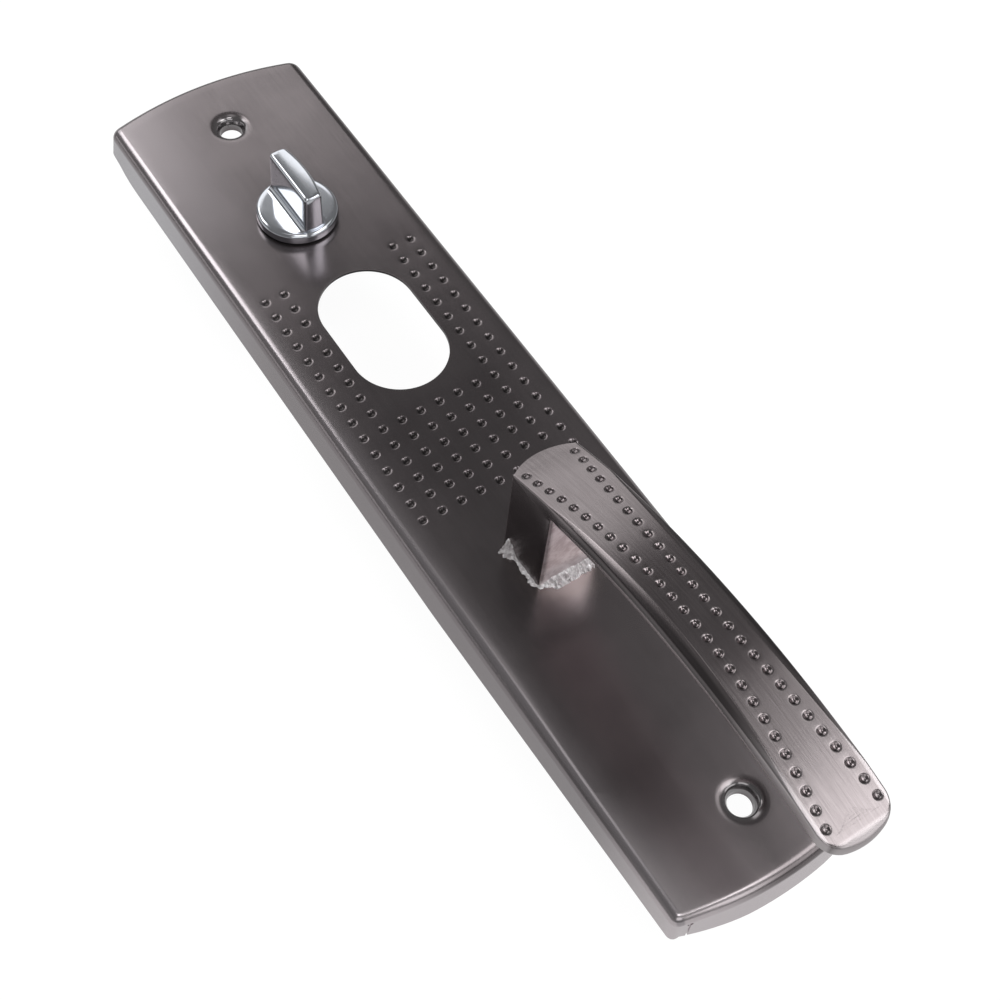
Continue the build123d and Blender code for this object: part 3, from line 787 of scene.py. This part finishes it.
def handle_skin():
    """The handle as one closed skin: dotted web, front, band round the sides and the end, under side."""
    skin = Skin()
    cells = handle_cells()
    y = arch_point(0.0, cells)[:, 1]
    end_plan, end_normal = free_end_plan(24)
    right = side_band(y, end_plan, end_normal)
    end_band = free_end_band(end_plan, end_normal, right[0])
    skin.add(joined(right[::-1], end_band, right * (-1, 1, 1)))

    crease_line, low_line = right[:, 0], right[:, -1]
    web_half = crease_line[:len(y), 0]
    dots = np.minimum(dot_line(y), web_half - GRIP_CELL_HALF - WEB_MARGIN)
    web(skin, cells, dots, web_half)

    end_x = web_line(dots[0], web_half[0])
    cap = blend_rows(arch_point(end_x, cells[0])[::-1], end_band[:, 0], steps(0, 1, 5))
    cap[1:-1, :, 2] = arch_height(cap[1:-1, :, 1])
    skin.add(cap)

    front_x = web_line(dots[-1], web_half[-1])
    skin.add(front_grid(crease_line[len(y) - 1:], front_x / front_x[-1]))

    under = np.repeat(low_line[:, None], len(end_x), 1)
    under[..., 0] *= end_x / end_x[-1]
    skin.add(under)
    skin.add(blend_rows(under[0][::-1], end_band[:, -1], steps(0, 1, 4)))
    return skin.mesh("pull_handle_skin", 50.0)


# Thumb-turn
def knob_blade(skin):
    """The blade: slices at rising heights, each a bar of half width h(z) trimmed to a circle and rounded."""
    waist_z = KNOB_DISC_TOP + BLADE_FOOT_HALF - BLADE_WAIST_HALF
    turn = steps(0, math.pi / 2, 8)
    spread = BLADE_FOOT_HALF - BLADE_WAIST_HALF
    rise = steps(0, 1, 8)[1:]
    shoulder = KNOB_TOP - BLADE_CORNER
    over = steps(0, math.pi / 2, 5)[1:]
    pull = BLADE_CORNER * (1 - np.cos(over))
    z = np.concatenate([[KNOB_DISC_TOP - BLADE_ROOT], waist_z - spread * np.cos(turn),
                        waist_z + (shoulder - waist_z) * rise, shoulder + BLADE_CORNER * np.sin(over)])
    h = np.concatenate([[BLADE_FOOT_HALF], BLADE_FOOT_HALF - spread * np.sin(turn),
                        BLADE_WAIST_HALF + (BLADE_TOP_HALF - BLADE_WAIST_HALF) * rise, BLADE_TOP_HALF - pull])
    radius = BLADE_RADIUS - np.concatenate([np.zeros(len(z) - len(over)), pull])
    reach = np.sqrt(radius ** 2 - h ** 2)
    right = [(h, share * reach) for share in BLADE_BREAKS]
    left = [(-x, y) for x, y in right[::-1]]
    corners = np.stack([at(x, y, 0.0) for x, y in (*right, (0.0, radius), *left)], 1)
    cuts = [BLADE_CORNER] * 3 + [BLADE_END_CUT] + [BLADE_CORNER] * 3
    near_half = softened(corners, cuts, 5)[..., :2]
    ring = np.concatenate([near_half, -near_half[:, 1:]], 1)
    high = np.clip((z - waist_z) / (KNOB_TOP - waist_z), 0, 1)[:, None]
    belly = BLADE_BULGE * high * np.clip(1 - (ring[..., 1] / reach[:, None]) ** 2, 0, 1)
    x = ring[..., 0] + np.where(ring[..., 0] > BLADE_FACE_X, belly, 0.0)
    grid = at(x, ring[..., 1] + KNOB_Y, z[:, None])
    skin.add(grid)
    middle = grid[-1].copy()
    middle[:, 0] = 0
    skin.add(np.stack([grid[-1], middle]))


def knob_disc(skin):
    """The disc and shank: a profile of radius and height turned about the axis."""
    arc = steps(0, math.pi / 2, 7)
    box_low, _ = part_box("thumb_turn_knob")
    ring_low, ring_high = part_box("retaining_ring")
    low, groove_low, groove_high = box_low.z / MM, ring_low.z / MM, ring_high.z / MM + RING_PLAY
    below = (    # radius and height, from under the disc's edge to the shank's tip
        (KNOB_RADIUS, KNOB_DISC_BOTTOM + DISC_CHAMFER), (KNOB_RADIUS - DISC_CHAMFER, KNOB_DISC_BOTTOM),
        (SHANK_RADIUS, KNOB_DISC_BOTTOM), (SHANK_RADIUS, groove_high), (GROOVE_RADIUS, groove_high),
        (GROOVE_RADIUS, groove_low), (SHANK_RADIUS, groove_low), (SHANK_RADIUS, low + SHANK_CHAMFER),
        (SHANK_TIP_RADIUS, low), (AXIS_RADIUS, low))
    edge = at(KNOB_RADIUS - KNOB_EDGE + KNOB_EDGE * np.sin(arc),
              KNOB_DISC_TOP - KNOB_EDGE * (1 - np.cos(arc)))
    profile = np.concatenate([at(np.array([AXIS_RADIUS, *DISC_RINGS]), KNOB_DISC_TOP), edge, below])
    radii, heights = profile[:, :1], profile[:, 1:]
    turn = steps(0, 2 * math.pi, 96)
    skin.add(at(radii * np.cos(turn), KNOB_Y + radii * np.sin(turn), heights))


def knob_skin():
    """Disc and blade as one piece."""
    skin = Skin()
    knob_disc(skin)
    knob_blade(skin)
    return skin.mesh("thumb_turn_knob_skin", 38.0)


# Weld crust
def smooth_noise(u, v, seed):
    """Sum of sines with seeded directions and phases, between about -1 and 1.

    Each octave is 1.9 times finer than the last and 1.55 times lower.
    """
    draw = np.random.default_rng(seed)
    total = np.zeros(np.broadcast(u, v).shape)
    for octave in range(5):
        scale = 0.9 * 1.9 ** octave
        for _ in range(3):
            turn, phase = draw.uniform(0, math.tau, 2)
            total += np.sin(scale * (u * math.cos(turn) + v * math.sin(turn)) + phase) / 1.55 ** octave
    return total / 6


def weld_skin():
    """Weld metal along the foot: a hump between cheek and plate whose size and surface vary by noise."""
    skin = Skin()
    bend_x, bend_y = GRIP_HALF_WIDTH - POST_BEND, POST_BACK_Y + POST_BEND
    turn = steps(math.pi, 1.5 * math.pi, 24)
    cheek = at(-GRIP_HALF_WIDTH, steps(POST_FRONT_Y - POST_FRONT_RISE - WELD_START, bend_y, 80)[:-1])
    corner = at(-bend_x + POST_BEND * np.cos(turn), bend_y + POST_BEND * np.sin(turn))
    path = np.concatenate([cheek, corner, at(steps(-bend_x, 0, 50)[1:], POST_BACK_Y)])
    path = np.concatenate([path, (path * (-1, 1))[-2::-1]])
    along = np.gradient(path, axis=0)
    along /= np.linalg.norm(along, axis=1, keepdims=True)
    out = at(along[:, 1], -along[:, 0])
    out *= np.sign(np.sum(out * (path - (0, POST_BACK_Y + GRIP_HALF_WIDTH)), 1))[:, None]
    length = np.concatenate([[0], np.cumsum(np.linalg.norm(np.diff(path, axis=0), axis=1))])
    far = np.minimum(length, length[-1] - length)
    swell = SWELL * smooth_noise(length * SWELL_SCALE, 0 * length, 3)
    ripple = RIPPLE * smooth_noise(length * RIPPLE_SCALE, 0 * length, 8)
    size = np.interp(far, WELD_PLACES, WELD_SIZES) * (1 + swell + ripple)
    leg = WELD_LEG * np.clip(size, *SIZE_LIMITS) * np.clip(far / TAPER_RUN, TAPER_LEAST, 1)
    leg, climb = leg[:, None], np.interp(far, CLIMB_PLACES, CLIMB_SHARES)[:, None]
    v = steps(0, 1, 19)
    grain = smooth_noise(length[:, None] * GRAIN_SCALES[0], v[None] * GRAIN_SCALES[1], 5)
    rough = GRAIN * grain * np.sin(math.pi * v) * leg / WELD_LEG
    reach = np.clip(leg * REACH_SHARE * (1 - v) ** REACH_POWER + rough, 0, REACH_MOST)
    rise = np.clip(leg * climb * v ** CLIMB_POWER + rough, 0, CLIMB_MOST)
    plan = path[:, None] + out[:, None] * (reach - TOE_DEPTH)[..., None]
    outer = at(plan[..., 0], plan[..., 1], FACE_Z + rise)
    root = path - out * ROOT_DEPTH
    low, high = (at(root[:, :1], root[:, 1:], FACE_Z + height) for height in (0.0, rise[:, -1:]))
    grid = np.concatenate([low, outer, high, low], 1)
    skin.add(grid)
    for end in (0, -1):
        ring = grid[end]
        skin.add(np.stack([ring, np.broadcast_to(ring.mean(0), ring.shape)]))
    return skin.mesh("weld_crust_skin", 60.0)


# Materials, with places and depths in metres
BRUSH_HEIGHT = 0.00005
RAG_SCALE = 450.0
BLOTCH_SCALE = 260.0
PIT_LIMITS = 0.01088, 0.0106      # height over the crowned face's foot where the painted pit shade starts and is full
PIT_FIELD_HALF = 0.027, 0.07
GRIP_PIT_LIMITS = 0.00005, 0.0002     # depth under the arch
GRIP_PIT_DEEPEST = 0.0006
GRIP_PIT_ACROSS = 0.0062
SEAT_RADIUS, SEAT_EDGE, SEAT_ROUGH = 0.0056, 0.0024, 0.1
SCORCH_PLACE, SCORCH_RADIUS, SCORCH_EDGE, SCORCH_SHARE = (0, -0.0465, RIM_DEPTH * MM), 0.0155, 0.006, 0.5
GRIP_PIT_ROUGH = 0.05
WORN_ROUGH = 0.36

# Zones of painted light and shade: the share, then for each direction the place where the zone starts and
# where it is full
DOT_FIELD = 0.42, ("across", 0.025, 0.012), ("y", -0.045, -0.01), ("y", 0.06, 0.02)
LEFT_EDGE = 0.6, ("x", -0.0215, -0.0275)
UPPER_CORNER = 0.68, ("x", -0.002, -0.026), ("y", 0.05, 0.1)
LOWER_CORNER = 1.0, ("x", 0.0, -0.022), ("y", -0.1, -0.135)
FOLD_LINE = 1.0, ("x", -0.0271, -0.0276), ("x", -0.0293, -0.0287)
END_WALL = 1.0, ("z", 0.0092, 0.0078), ("y", -0.131, -0.1345)
SIDE_WALLS = 1.0, ("z", 0.0092, 0.0078), ("across", 0.0285, 0.029), ("y", 0.03, 0.12)
BEVELS = (0.7, ("below", 0.0002, 0.0006), ("below", 0.0028, 0.0024), ("across", 0.0062, 0.0066),
          ("y", -0.125, -0.105), ("y", -0.055, -0.065))
UNDER_SIDE = 1.0, ("below", 0.0029, 0.0031), ("z", 0.035, 0.042), ("y", -0.054, -0.056)
SIDE_RIM = 1.0, ("across", 0.0076, 0.0082), ("y", -0.112, -0.134)
END_RIM = 1.0, ("y", -0.1448, -0.1462)
POST_BACK = 1.0, ("y", -0.0509, -0.0512), ("z", 0.0415, 0.041)

# painted shade: the middle of the dot field darker, standing in for a dark reflection
FIELD_SHADE_PAINT = 0.08, 0.071, 0.073
# painted shade in the face's pits
PIT_SHADE_PAINT = 0.045, 0.04, 0.04
SEAT_POLISH = 0.33, 0.32, 0.325
# painted sheen on the left edge and the upper left corner of the face, on that side only
SHEEN_PAINT = 0.37, 0.337, 0.348
# painted reflection: the lower left end of the face lighter
END_REFLECTION_PAINT = 0.62, 0.565, 0.58
# painted highlight along the left fold
FOLD_HIGHLIGHT_PAINT = 0.43, 0.395, 0.41
# painted reflection of the floor on the foot of the lower end wall
END_WALL_REFLECTION_PAINT = 0.68, 0.62, 0.64
# painted reflection of the floor on the side walls' feet towards the upper end
SIDE_WALL_REFLECTION_PAINT = 0.58, 0.565, 0.59
SCORCHED = 0.3, 0.26, 0.25
GRIP_PIT_FILM = 0.22, 0.19, 0.195
# painted dark reflection on the grip's bevels
BEVEL_SHADE_PAINT = 0.07, 0.061, 0.063
# painted light on the grip's under side
UNDER_SIDE_LIGHT_PAINT = 0.85, 0.77, 0.78
# painted light on the grip's sides and end near the free end
RIM_LIGHT_PAINT = 0.5, 0.46, 0.468
# painted light on the post's back, mottled by noise between these two
BACK_LIGHT_PAINT_LOW, BACK_LIGHT_PAINT_HIGH = (0.66, 0.58, 0.59), (0.92, 0.86, 0.87)

FINISHES = {
    "dark_sheet": dict(
        stretch=(1500, 80, 1500), dark=(0.17, 0.151, 0.155), light=(0.225, 0.2, 0.205),
        line_share=0.3, patch_scale=45.0, rough=(0.19, 0.27), bump=0.05, metallic=0.9),
    "dark_bar": dict(
        stretch=(2600, 60, 160), dark=(0.2, 0.177, 0.18), light=(0.27, 0.242, 0.246),
        line_share=0.6, patch_scale=60.0, rough=(0.2, 0.28), bump=0.08),
    "weld_metal": dict(
        stretch=(900, 900, 900), dark=(0.6, 0.56, 0.57), light=(1.0, 0.98, 0.99),
        line_share=0.5, patch_scale=900.0, rough=(0.2, 0.45), bump=1.0, metallic=0.3),
    "chrome": dict(
        stretch=(150, 150, 150), dark=(0.6, 0.62, 0.66), light=(0.7, 0.72, 0.77),
        line_share=0.3, patch_scale=60.0, rough=(0.09, 0.13), bump=0.02),
    "black_nylon": dict(
        stretch=(900, 900, 900), dark=(0.012, 0.012, 0.012), light=(0.03, 0.03, 0.03),
        line_share=0.5, patch_scale=300.0, rough=(0.45, 0.6), bump=0.2, metallic=0.0),
    "zinc_plating": dict(
        stretch=(300, 300, 300), dark=(0.45, 0.45, 0.44), light=(0.62, 0.62, 0.6),
        line_share=0.4, patch_scale=200.0, rough=(0.25, 0.4), bump=0.3),
    "spring_steel": dict(
        stretch=(500, 500, 500), dark=(0.09, 0.085, 0.08), light=(0.17, 0.16, 0.15),
        line_share=0.5, patch_scale=200.0, rough=(0.25, 0.45), bump=0.3),
}


def new_material(name):
    """Empty node material with its nodes, links and Principled shader."""
    material = bpy.data.materials.new(name)
    material.use_nodes = True
    nodes, links = material.node_tree.nodes, material.node_tree.links
    return material, nodes, links, nodes["Principled BSDF"]


def fill(inputs, **values):
    """Sets sockets by their names, with an underscore for each space. A colour gets its alpha."""
    for name, value in values.items():
        slot = inputs[name.replace("_", " ")]
        slot.default_value = (*value, 1) if slot.type == "RGBA" else value


def operate(tree, operation, *values):
    """Math node with sockets or plain numbers as its values; gives its output."""
    node = tree.nodes.new("ShaderNodeMath")
    node.operation = operation
    for slot, value in zip(node.inputs, values):
        if isinstance(value, (int, float)):
            slot.default_value = value
        else:
            tree.links.new(value, slot)
    return node.outputs[0]


def product(tree, *values):
    """All the values multiplied, from the first on."""
    total = values[0]
    for value in values[1:]:
        total = operate(tree, "MULTIPLY", total, value)
    return total


def ramp(tree, value, start, end):
    """Smooth step from 0 at `start` to 1 at `end`."""
    node = tree.nodes.new("ShaderNodeMapRange")
    node.interpolation_type = "SMOOTHSTEP"
    fill(node.inputs, From_Min=start, From_Max=end)
    tree.links.new(value, node.inputs["Value"])
    return node.outputs["Result"]


def tint(tree, share, first, second):
    """Mix of two colours, or of two plain numbers, each a socket or a constant."""
    node = tree.nodes.new("ShaderNodeMix")
    plain = isinstance(second, (int, float)) or getattr(second, "type", "") == "VALUE"
    node.data_type = "FLOAT" if plain else "RGBA"
    slots = (2, 3) if plain else (6, 7)
    for slot, value in ((0, share), (slots[0], first), (slots[1], second)):
        if isinstance(value, bpy.types.NodeSocket):
            tree.links.new(value, node.inputs[slot])
        else:
            node.inputs[slot].default_value = (*value, 1) if isinstance(value, tuple) else value
    return node.outputs[0 if plain else 2]


def noise(tree, vector, scale, detail=2.0, roughness=0.5):
    """Noise texture's value."""
    node = tree.nodes.new("ShaderNodeTexNoise")
    fill(node.inputs, Scale=scale, Detail=detail, Roughness=roughness)
    tree.links.new(vector, node.inputs["Vector"])
    return node.outputs["Fac"]


def vector_math(tree, operation, *values):
    """Vector math node with sockets as its values; gives the node."""
    node = tree.nodes.new("ShaderNodeVectorMath")
    node.operation = operation
    for slot, value in zip(node.inputs, values):
        tree.links.new(value, slot)
    return node


def object_place(tree):
    """Object coordinates, in metres of the shared frame."""
    return tree.nodes.new("ShaderNodeTexCoord").outputs["Object"]


def start_group(name, inputs, outputs):
    """Node group with named sockets; gives the group, its input node's sockets and its output node's."""
    group = bpy.data.node_groups.new(name, "ShaderNodeTree")
    for socket, kind in inputs:
        group.interface.new_socket(socket, in_out="INPUT", socket_type="NodeSocket" + kind)
    for socket, kind in outputs:
        group.interface.new_socket(socket, in_out="OUTPUT", socket_type="NodeSocket" + kind)
    return group, group.nodes.new("NodeGroupInput").outputs, group.nodes.new("NodeGroupOutput").inputs


def brushed_group():
    """Node group: fine brush lines stretched along an axis and soft patches: colour, roughness, height."""
    group, given, result = start_group(
        "brushed_plating",
        (("Stretch", "Vector"), ("Dark", "Color"), ("Light", "Color"), ("Line Share", "Float"),
         ("Patch Scale", "Float"), ("Rough Low", "Float"), ("Rough High", "Float")),
        (("Color", "Color"), ("Roughness", "Float"), ("Height", "Float")))
    place = object_place(group)
    lines = noise(group, vector_math(group, "MULTIPLY", place, given["Stretch"]).outputs[0], 1.0, 4.0, 0.65)
    patch = group.nodes.new("ShaderNodeTexNoise")
    fill(patch.inputs, Detail=3.0)
    group.links.new(place, patch.inputs["Vector"])
    group.links.new(given["Patch Scale"], patch.inputs["Scale"])
    both = tint(group, given["Line Share"], patch.outputs["Fac"], lines)
    group.links.new(tint(group, ramp(group, both, 0.3, 0.7), given["Dark"], given["Light"]), result["Color"])
    group.links.new(tint(group, both, given["Rough Low"], given["Rough High"]), result["Roughness"])
    group.links.new(lines, result["Height"])
    return group


def spot_group():
    """Node group: 1 near a point and 0 beyond a radius, with a soft ragged edge."""
    group, given, result = start_group(
        "near_spot", (("Centre", "Vector"), ("Radius", "Float"), ("Edge", "Float"), ("Ragged", "Float")),
        (("Mask", "Float"),))
    place = object_place(group)
    way = vector_math(group, "DISTANCE", place, given["Centre"])
    uneven = operate(group, "SUBTRACT", noise(group, place, RAG_SCALE, 4.0, 0.7), 0.5)
    rag = product(group, uneven, given["Ragged"])
    away = operate(group, "ADD", way.outputs["Value"], rag)
    inside = operate(group, "DIVIDE", operate(group, "SUBTRACT", given["Radius"], away), given["Edge"])
    group.links.new(ramp(group, inside, 0.0, 1.0), result["Mask"])
    return group


def directions(tree):
    """Object coordinates by name: x, y, z, and across, which is x without its sign."""
    split = tree.nodes.new("ShaderNodeSeparateXYZ")
    tree.links.new(object_place(tree), split.inputs[0])
    x, y, z = split.outputs
    return {"x": x, "y": y, "z": z, "across": operate(tree, "ABSOLUTE", x)}


def spot(tree, group, centre, radius, edge, ragged=0.0):
    """Mask of the spot group round a centre in metres."""
    node = tree.nodes.new("ShaderNodeGroup")
    node.node_tree = group
    fill(node.inputs, Centre=centre, Radius=radius, Edge=edge, Ragged=ragged)
    return node.outputs["Mask"]


def zone(tree, places, share, *limits):
    """Mask of a zone: smooth steps along the named directions, multiplied, times its share."""
    mask = product(tree, *(ramp(tree, places[name], start, end) for name, start, end in limits))
    return mask if share == 1.0 else product(tree, mask, share)


def brushed_material(name, group, stretch, dark, light, line_share, patch_scale, rough, bump, metallic=1.0):
    """Brushed plating: the group's lines in colour, roughness and bump. Gives material and both sockets."""
    material, nodes, links, shader = new_material(name)
    brush = nodes.new("ShaderNodeGroup")
    brush.node_tree = group
    fill(brush.inputs, Stretch=stretch, Dark=dark, Light=light, Line_Share=line_share,
         Patch_Scale=patch_scale, Rough_Low=rough[0], Rough_High=rough[1])
    height = nodes.new("ShaderNodeBump")
    fill(height.inputs, Strength=bump, Distance=BRUSH_HEIGHT)
    fill(shader.inputs, Metallic=metallic)
    colour, roughness = brush.outputs["Color"], brush.outputs["Roughness"]
    for start, end in ((brush.outputs["Height"], height.inputs["Height"]),
                       (height.outputs["Normal"], shader.inputs["Normal"]),
                       (colour, shader.inputs["Base Color"]), (roughness, shader.inputs["Roughness"])):
        links.new(start, end)
    return material, colour, roughness


def finish(material, colour, roughness):
    """Puts a reworked colour and roughness into the material's shader."""
    tree = material.node_tree
    shader = tree.nodes["Principled BSDF"]
    tree.links.new(colour, shader.inputs["Base Color"])
    tree.links.new(roughness, shader.inputs["Roughness"])
    return material


def sheet_material(brush, spots):
    """Dark plated sheet: painted shade in the pits and the middle of the dot field, bright polished screw
    seats, painted sheen, highlight and reflections on the left edge, corners, fold and walls, scorched at the
    weld.
    """
    material, colour, roughness = brushed_material("dark_sheet", brush, **FINISHES["dark_sheet"])
    tree = material.node_tree
    places = directions(tree)
    x = places["x"]
    crown = product(tree, x, x, CROWN / (PLATE_HALF_WIDTH ** 2 * MM))
    pit = product(tree, ramp(tree, operate(tree, "ADD", places["z"], crown), *PIT_LIMITS),
                  operate(tree, "LESS_THAN", places["across"], PIT_FIELD_HALF[0]),
                  operate(tree, "LESS_THAN", operate(tree, "ABSOLUTE", places["y"]), PIT_FIELD_HALF[1]))
    # painted shade over the middle of the dot field
    colour = tint(tree, zone(tree, places, *DOT_FIELD), colour, FIELD_SHADE_PAINT)
    # painted shade in the pits
    colour = tint(tree, pit, colour, PIT_SHADE_PAINT)
    for sign in (-1, 1):
        seat = spot(tree, spots, (0, sign * SCREW_Y * MM, RIM_DEPTH * MM), SEAT_RADIUS, SEAT_EDGE)
        colour = tint(tree, seat, colour, SEAT_POLISH)
        roughness = tint(tree, seat, roughness, SEAT_ROUGH)
    # painted sheen on the left edge and the upper left corner
    sheen_mask = operate(tree, "MAXIMUM", zone(tree, places, *LEFT_EDGE), zone(tree, places, *UPPER_CORNER))
    colour = tint(tree, sheen_mask, colour, SHEEN_PAINT)
    # painted reflections and highlight: lower left end, left fold, lower end wall and upper side walls
    for film, limits in ((END_REFLECTION_PAINT, LOWER_CORNER), (FOLD_HIGHLIGHT_PAINT, FOLD_LINE), (END_WALL_REFLECTION_PAINT, END_WALL),
                         (SIDE_WALL_REFLECTION_PAINT, SIDE_WALLS)):
        colour = tint(tree, zone(tree, places, *limits), colour, film)
    scorch = spot(tree, spots, SCORCH_PLACE, SCORCH_RADIUS, SCORCH_EDGE, SCORCH_EDGE)
    colour = tint(tree, product(tree, scorch, SCORCH_SHARE), colour, SCORCHED)
    return finish(material, colour, roughness)


def bar_material(brush):
    """Dark plated bar: brush lines along the grip, dark pits, painted dark reflections on the bevels, painted
    light on the under side and near the free end, and mottled painted light on the post's back.
    """
    material, colour, roughness = brushed_material("dark_bar", brush, **FINISHES["dark_bar"])
    tree = material.node_tree
    places = directions(tree)
    from_axis = tree.nodes.new("ShaderNodeCombineXYZ")
    tree.links.new(operate(tree, "SUBTRACT", places["y"], GRIP_CROWN_Y * MM), from_axis.inputs["Y"])
    tree.links.new(operate(tree, "SUBTRACT", places["z"], ARCH_CENTRE_Z * MM), from_axis.inputs["Z"])
    arch = vector_math(tree, "LENGTH", from_axis.outputs[0])
    below = places["below"] = operate(tree, "SUBTRACT", ARCH_RADIUS * MM, arch.outputs["Value"])
    pit = product(tree, ramp(tree, below, *GRIP_PIT_LIMITS),
                  operate(tree, "LESS_THAN", below, GRIP_PIT_DEEPEST),
                  operate(tree, "LESS_THAN", places["across"], GRIP_PIT_ACROSS))
    colour = tint(tree, pit, colour, GRIP_PIT_FILM)
    roughness = tint(tree, pit, roughness, GRIP_PIT_ROUGH)
    # painted dark reflection on the bevels
    colour = tint(tree, zone(tree, places, *BEVELS), colour, BEVEL_SHADE_PAINT)
    # painted light on the under side
    colour = tint(tree, zone(tree, places, *UNDER_SIDE), colour, UNDER_SIDE_LIGHT_PAINT)
    # painted light on the sides and end near the free end
    rim = operate(tree, "MAXIMUM", zone(tree, places, *SIDE_RIM), zone(tree, places, *END_RIM))
    # mottled painted light on the post's back
    back_light_mask = zone(tree, places, *POST_BACK)
    blotch = ramp(tree, noise(tree, object_place(tree), BLOTCH_SCALE, 5.0, 0.7), 0.35, 0.65)
    for mask, film in ((rim, RIM_LIGHT_PAINT), (back_light_mask, tint(tree, blotch, BACK_LIGHT_PAINT_LOW, BACK_LIGHT_PAINT_HIGH))):
        colour = tint(tree, mask, colour, film)
        roughness = tint(tree, mask, roughness, WORN_ROUGH)
    return finish(material, colour, roughness)


def dress(piece, material, body, slot, *nodes):
    """Gives a piece its material and body, and hides the nodes that it stands for. `slot` is not used."""
    piece.data.materials.clear()
    piece.data.materials.append(material)
    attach(piece, body)
    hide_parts(*nodes)


brush = brushed_group()
spots = spot_group()
sheet_finish = sheet_material(brush, spots)
grip_finish = bar_material(brush)
weld_finish, chrome_finish, nylon_finish, zinc_finish, spring_finish = (
    brushed_material(name, brush, **FINISHES[name])[0]
    for name in ("weld_metal", "chrome", "black_nylon", "zinc_plating", "spring_steel"))

dress(face_plate_skin(), sheet_finish, "plate", "dark_brushed_sheet", "face_plate")
dress(handle_skin(), grip_finish, "plate", "dark_brushed_bar", "pull_handle")
dress(weld_skin(), weld_finish, "plate", "weld_metal", "weld_crust")
dress(knob_skin(), chrome_finish, "thumb_turn", "polished_chrome", "thumb_turn_knob")

for node, coat in (("knob_bush", nylon_finish), ("flat_washer", zinc_finish),
                   ("spring_washer", spring_finish), ("retaining_ring", spring_finish),
                   ("spindle", zinc_finish), ("spindle_pin", spring_finish)):
    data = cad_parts[node].data
    data.materials.clear()
    data.materials.append(coat)


# Camera: place and turn solved from the photograph
CAMERA_PLACE = (-0.1335, -0.1847, 0.3363)
CAMERA_RIGHT = (0.83306, -0.54926, 0.06572)
CAMERA_DOWN = (-0.43724, -0.72658, -0.53000)
CAMERA_FORWARD = (0.33886, 0.41279, -0.84545)
LENS = 55.83
SENSOR = 36.0
NEAREST, FARTHEST = 0.01, 20.0


def add_camera():
    """Camera whose right, up and back axes are the rows of the solved turn."""
    data = bpy.data.cameras.new("camera")
    data.lens, data.sensor_width = LENS, SENSOR
    data.clip_start, data.clip_end = NEAREST, FARTHEST
    camera = bpy.data.objects.new("camera", data)
    axes = np.array([CAMERA_RIGHT, [-c for c in CAMERA_DOWN], [-c for c in CAMERA_FORWARD]]).T
    camera.matrix_world = Matrix.Translation(CAMERA_PLACE) @ Matrix(axes.tolist()).to_4x4()
    bpy.context.scene.collection.objects.link(camera)
    bpy.context.scene.camera = camera


add_camera()

# Floor, world and lights
FLOOR_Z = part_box("spindle")[0].z
FLOOR_HALF = 3.0
FLOOR_PALE = 0.82
FLOOR_ROUGH = 0.9
FLOOR_GLOW = 1.12
GLOSS_FLOOR = 0.65
GLOW_SHARE = 0.85
WORLD_STRENGTH = 0.18
LIGHT_DISTANCE = 1.3
LIGHTS = (    # name, bearing and height in degrees, size, radiance
    ("end_light", 82, 30, (1.0, 0.7), 1.0),
    ("side_light", -44, 53, (0.6, 0.5), 2.8),
    ("foot_light", -6, 57, (0.45, 0.45), 1.0),
    ("near_light", -117, 36, (0.8, 0.6), 1.0),
    ("pit_light", -112, 73, (0.42, 0.36), 3.0),
    ("fold_light", 103, 48, (0.6, 0.26), 2.6),
    ("long_light", 142, 12, (0.9, 0.24), 0.6),
    ("front_light", -62, 24, (1.0, 0.55), 1.1),
    ("top_light", 95, 78, (0.35, 0.3), 0.6),
)


def add_floor():
    """Pale floor under the object, white where the camera or a reflection looks straight at it."""
    corners = np.array([[-1, -1, 0], [1, -1, 0], [1, 1, 0], [-1, 1, 0]]) * FLOOR_HALF
    data = bpy.data.meshes.new("floor")
    data.from_pydata((corners + (0, 0, FLOOR_Z)).tolist(), [], [(0, 1, 2, 3)])
    floor = bpy.data.objects.new("floor", data)
    bpy.context.scene.collection.objects.link(floor)
    material, nodes, links, shader = new_material("pale_floor")
    tree = material.node_tree
    fill(shader.inputs, Base_Color=(FLOOR_PALE,) * 3, Roughness=FLOOR_ROUGH)
    path = nodes.new("ShaderNodeLightPath").outputs
    seen = operate(tree, "ADD", product(tree, path["Is Camera Ray"], FLOOR_GLOW),
                   product(tree, path["Is Glossy Ray"], GLOSS_FLOOR))
    glow = nodes.new("ShaderNodeEmission")
    mix = nodes.new("ShaderNodeMixShader")
    share = product(tree, operate(tree, "MAXIMUM", path["Is Camera Ray"], path["Is Glossy Ray"]), GLOW_SHARE)
    for start, end in ((seen, glow.inputs["Strength"]), (share, mix.inputs["Fac"]),
                       (shader.outputs[0], mix.inputs[1]), (glow.outputs[0], mix.inputs[2]),
                       (mix.outputs[0], nodes["Material Output"].inputs["Surface"])):
        links.new(start, end)
    data.materials.append(material)


def add_light(name, bearing, height, size, radiance):
    """Rectangular soft light that looks at the middle, from a bearing from +X towards +Y and a height."""
    data = bpy.data.lights.new(name, "AREA")
    data.shape = "RECTANGLE"
    data.size, data.size_y = size
    data.energy = radiance * 4 * size[0] * size[1]
    b, h = math.radians(bearing), math.radians(height)
    place = Vector((math.cos(h) * math.cos(b), math.cos(h) * math.sin(b), math.sin(h))) * LIGHT_DISTANCE
    light = bpy.data.objects.new(name, data)
    light.matrix_world = Matrix.Translation(place) @ place.to_track_quat("Z", "Y").to_matrix().to_4x4()
    bpy.context.scene.collection.objects.link(light)


def add_world():
    """Even grey surroundings."""
    world = bpy.data.worlds.new("studio")
    world.use_nodes = True
    fill(world.node_tree.nodes["Background"].inputs, Color=(1, 1, 1), Strength=WORLD_STRENGTH)
    bpy.context.scene.world = world


add_floor()
add_world()
for light in LIGHTS:
    add_light(*light)

bpy.context.scene.view_settings.view_transform = "Standard"
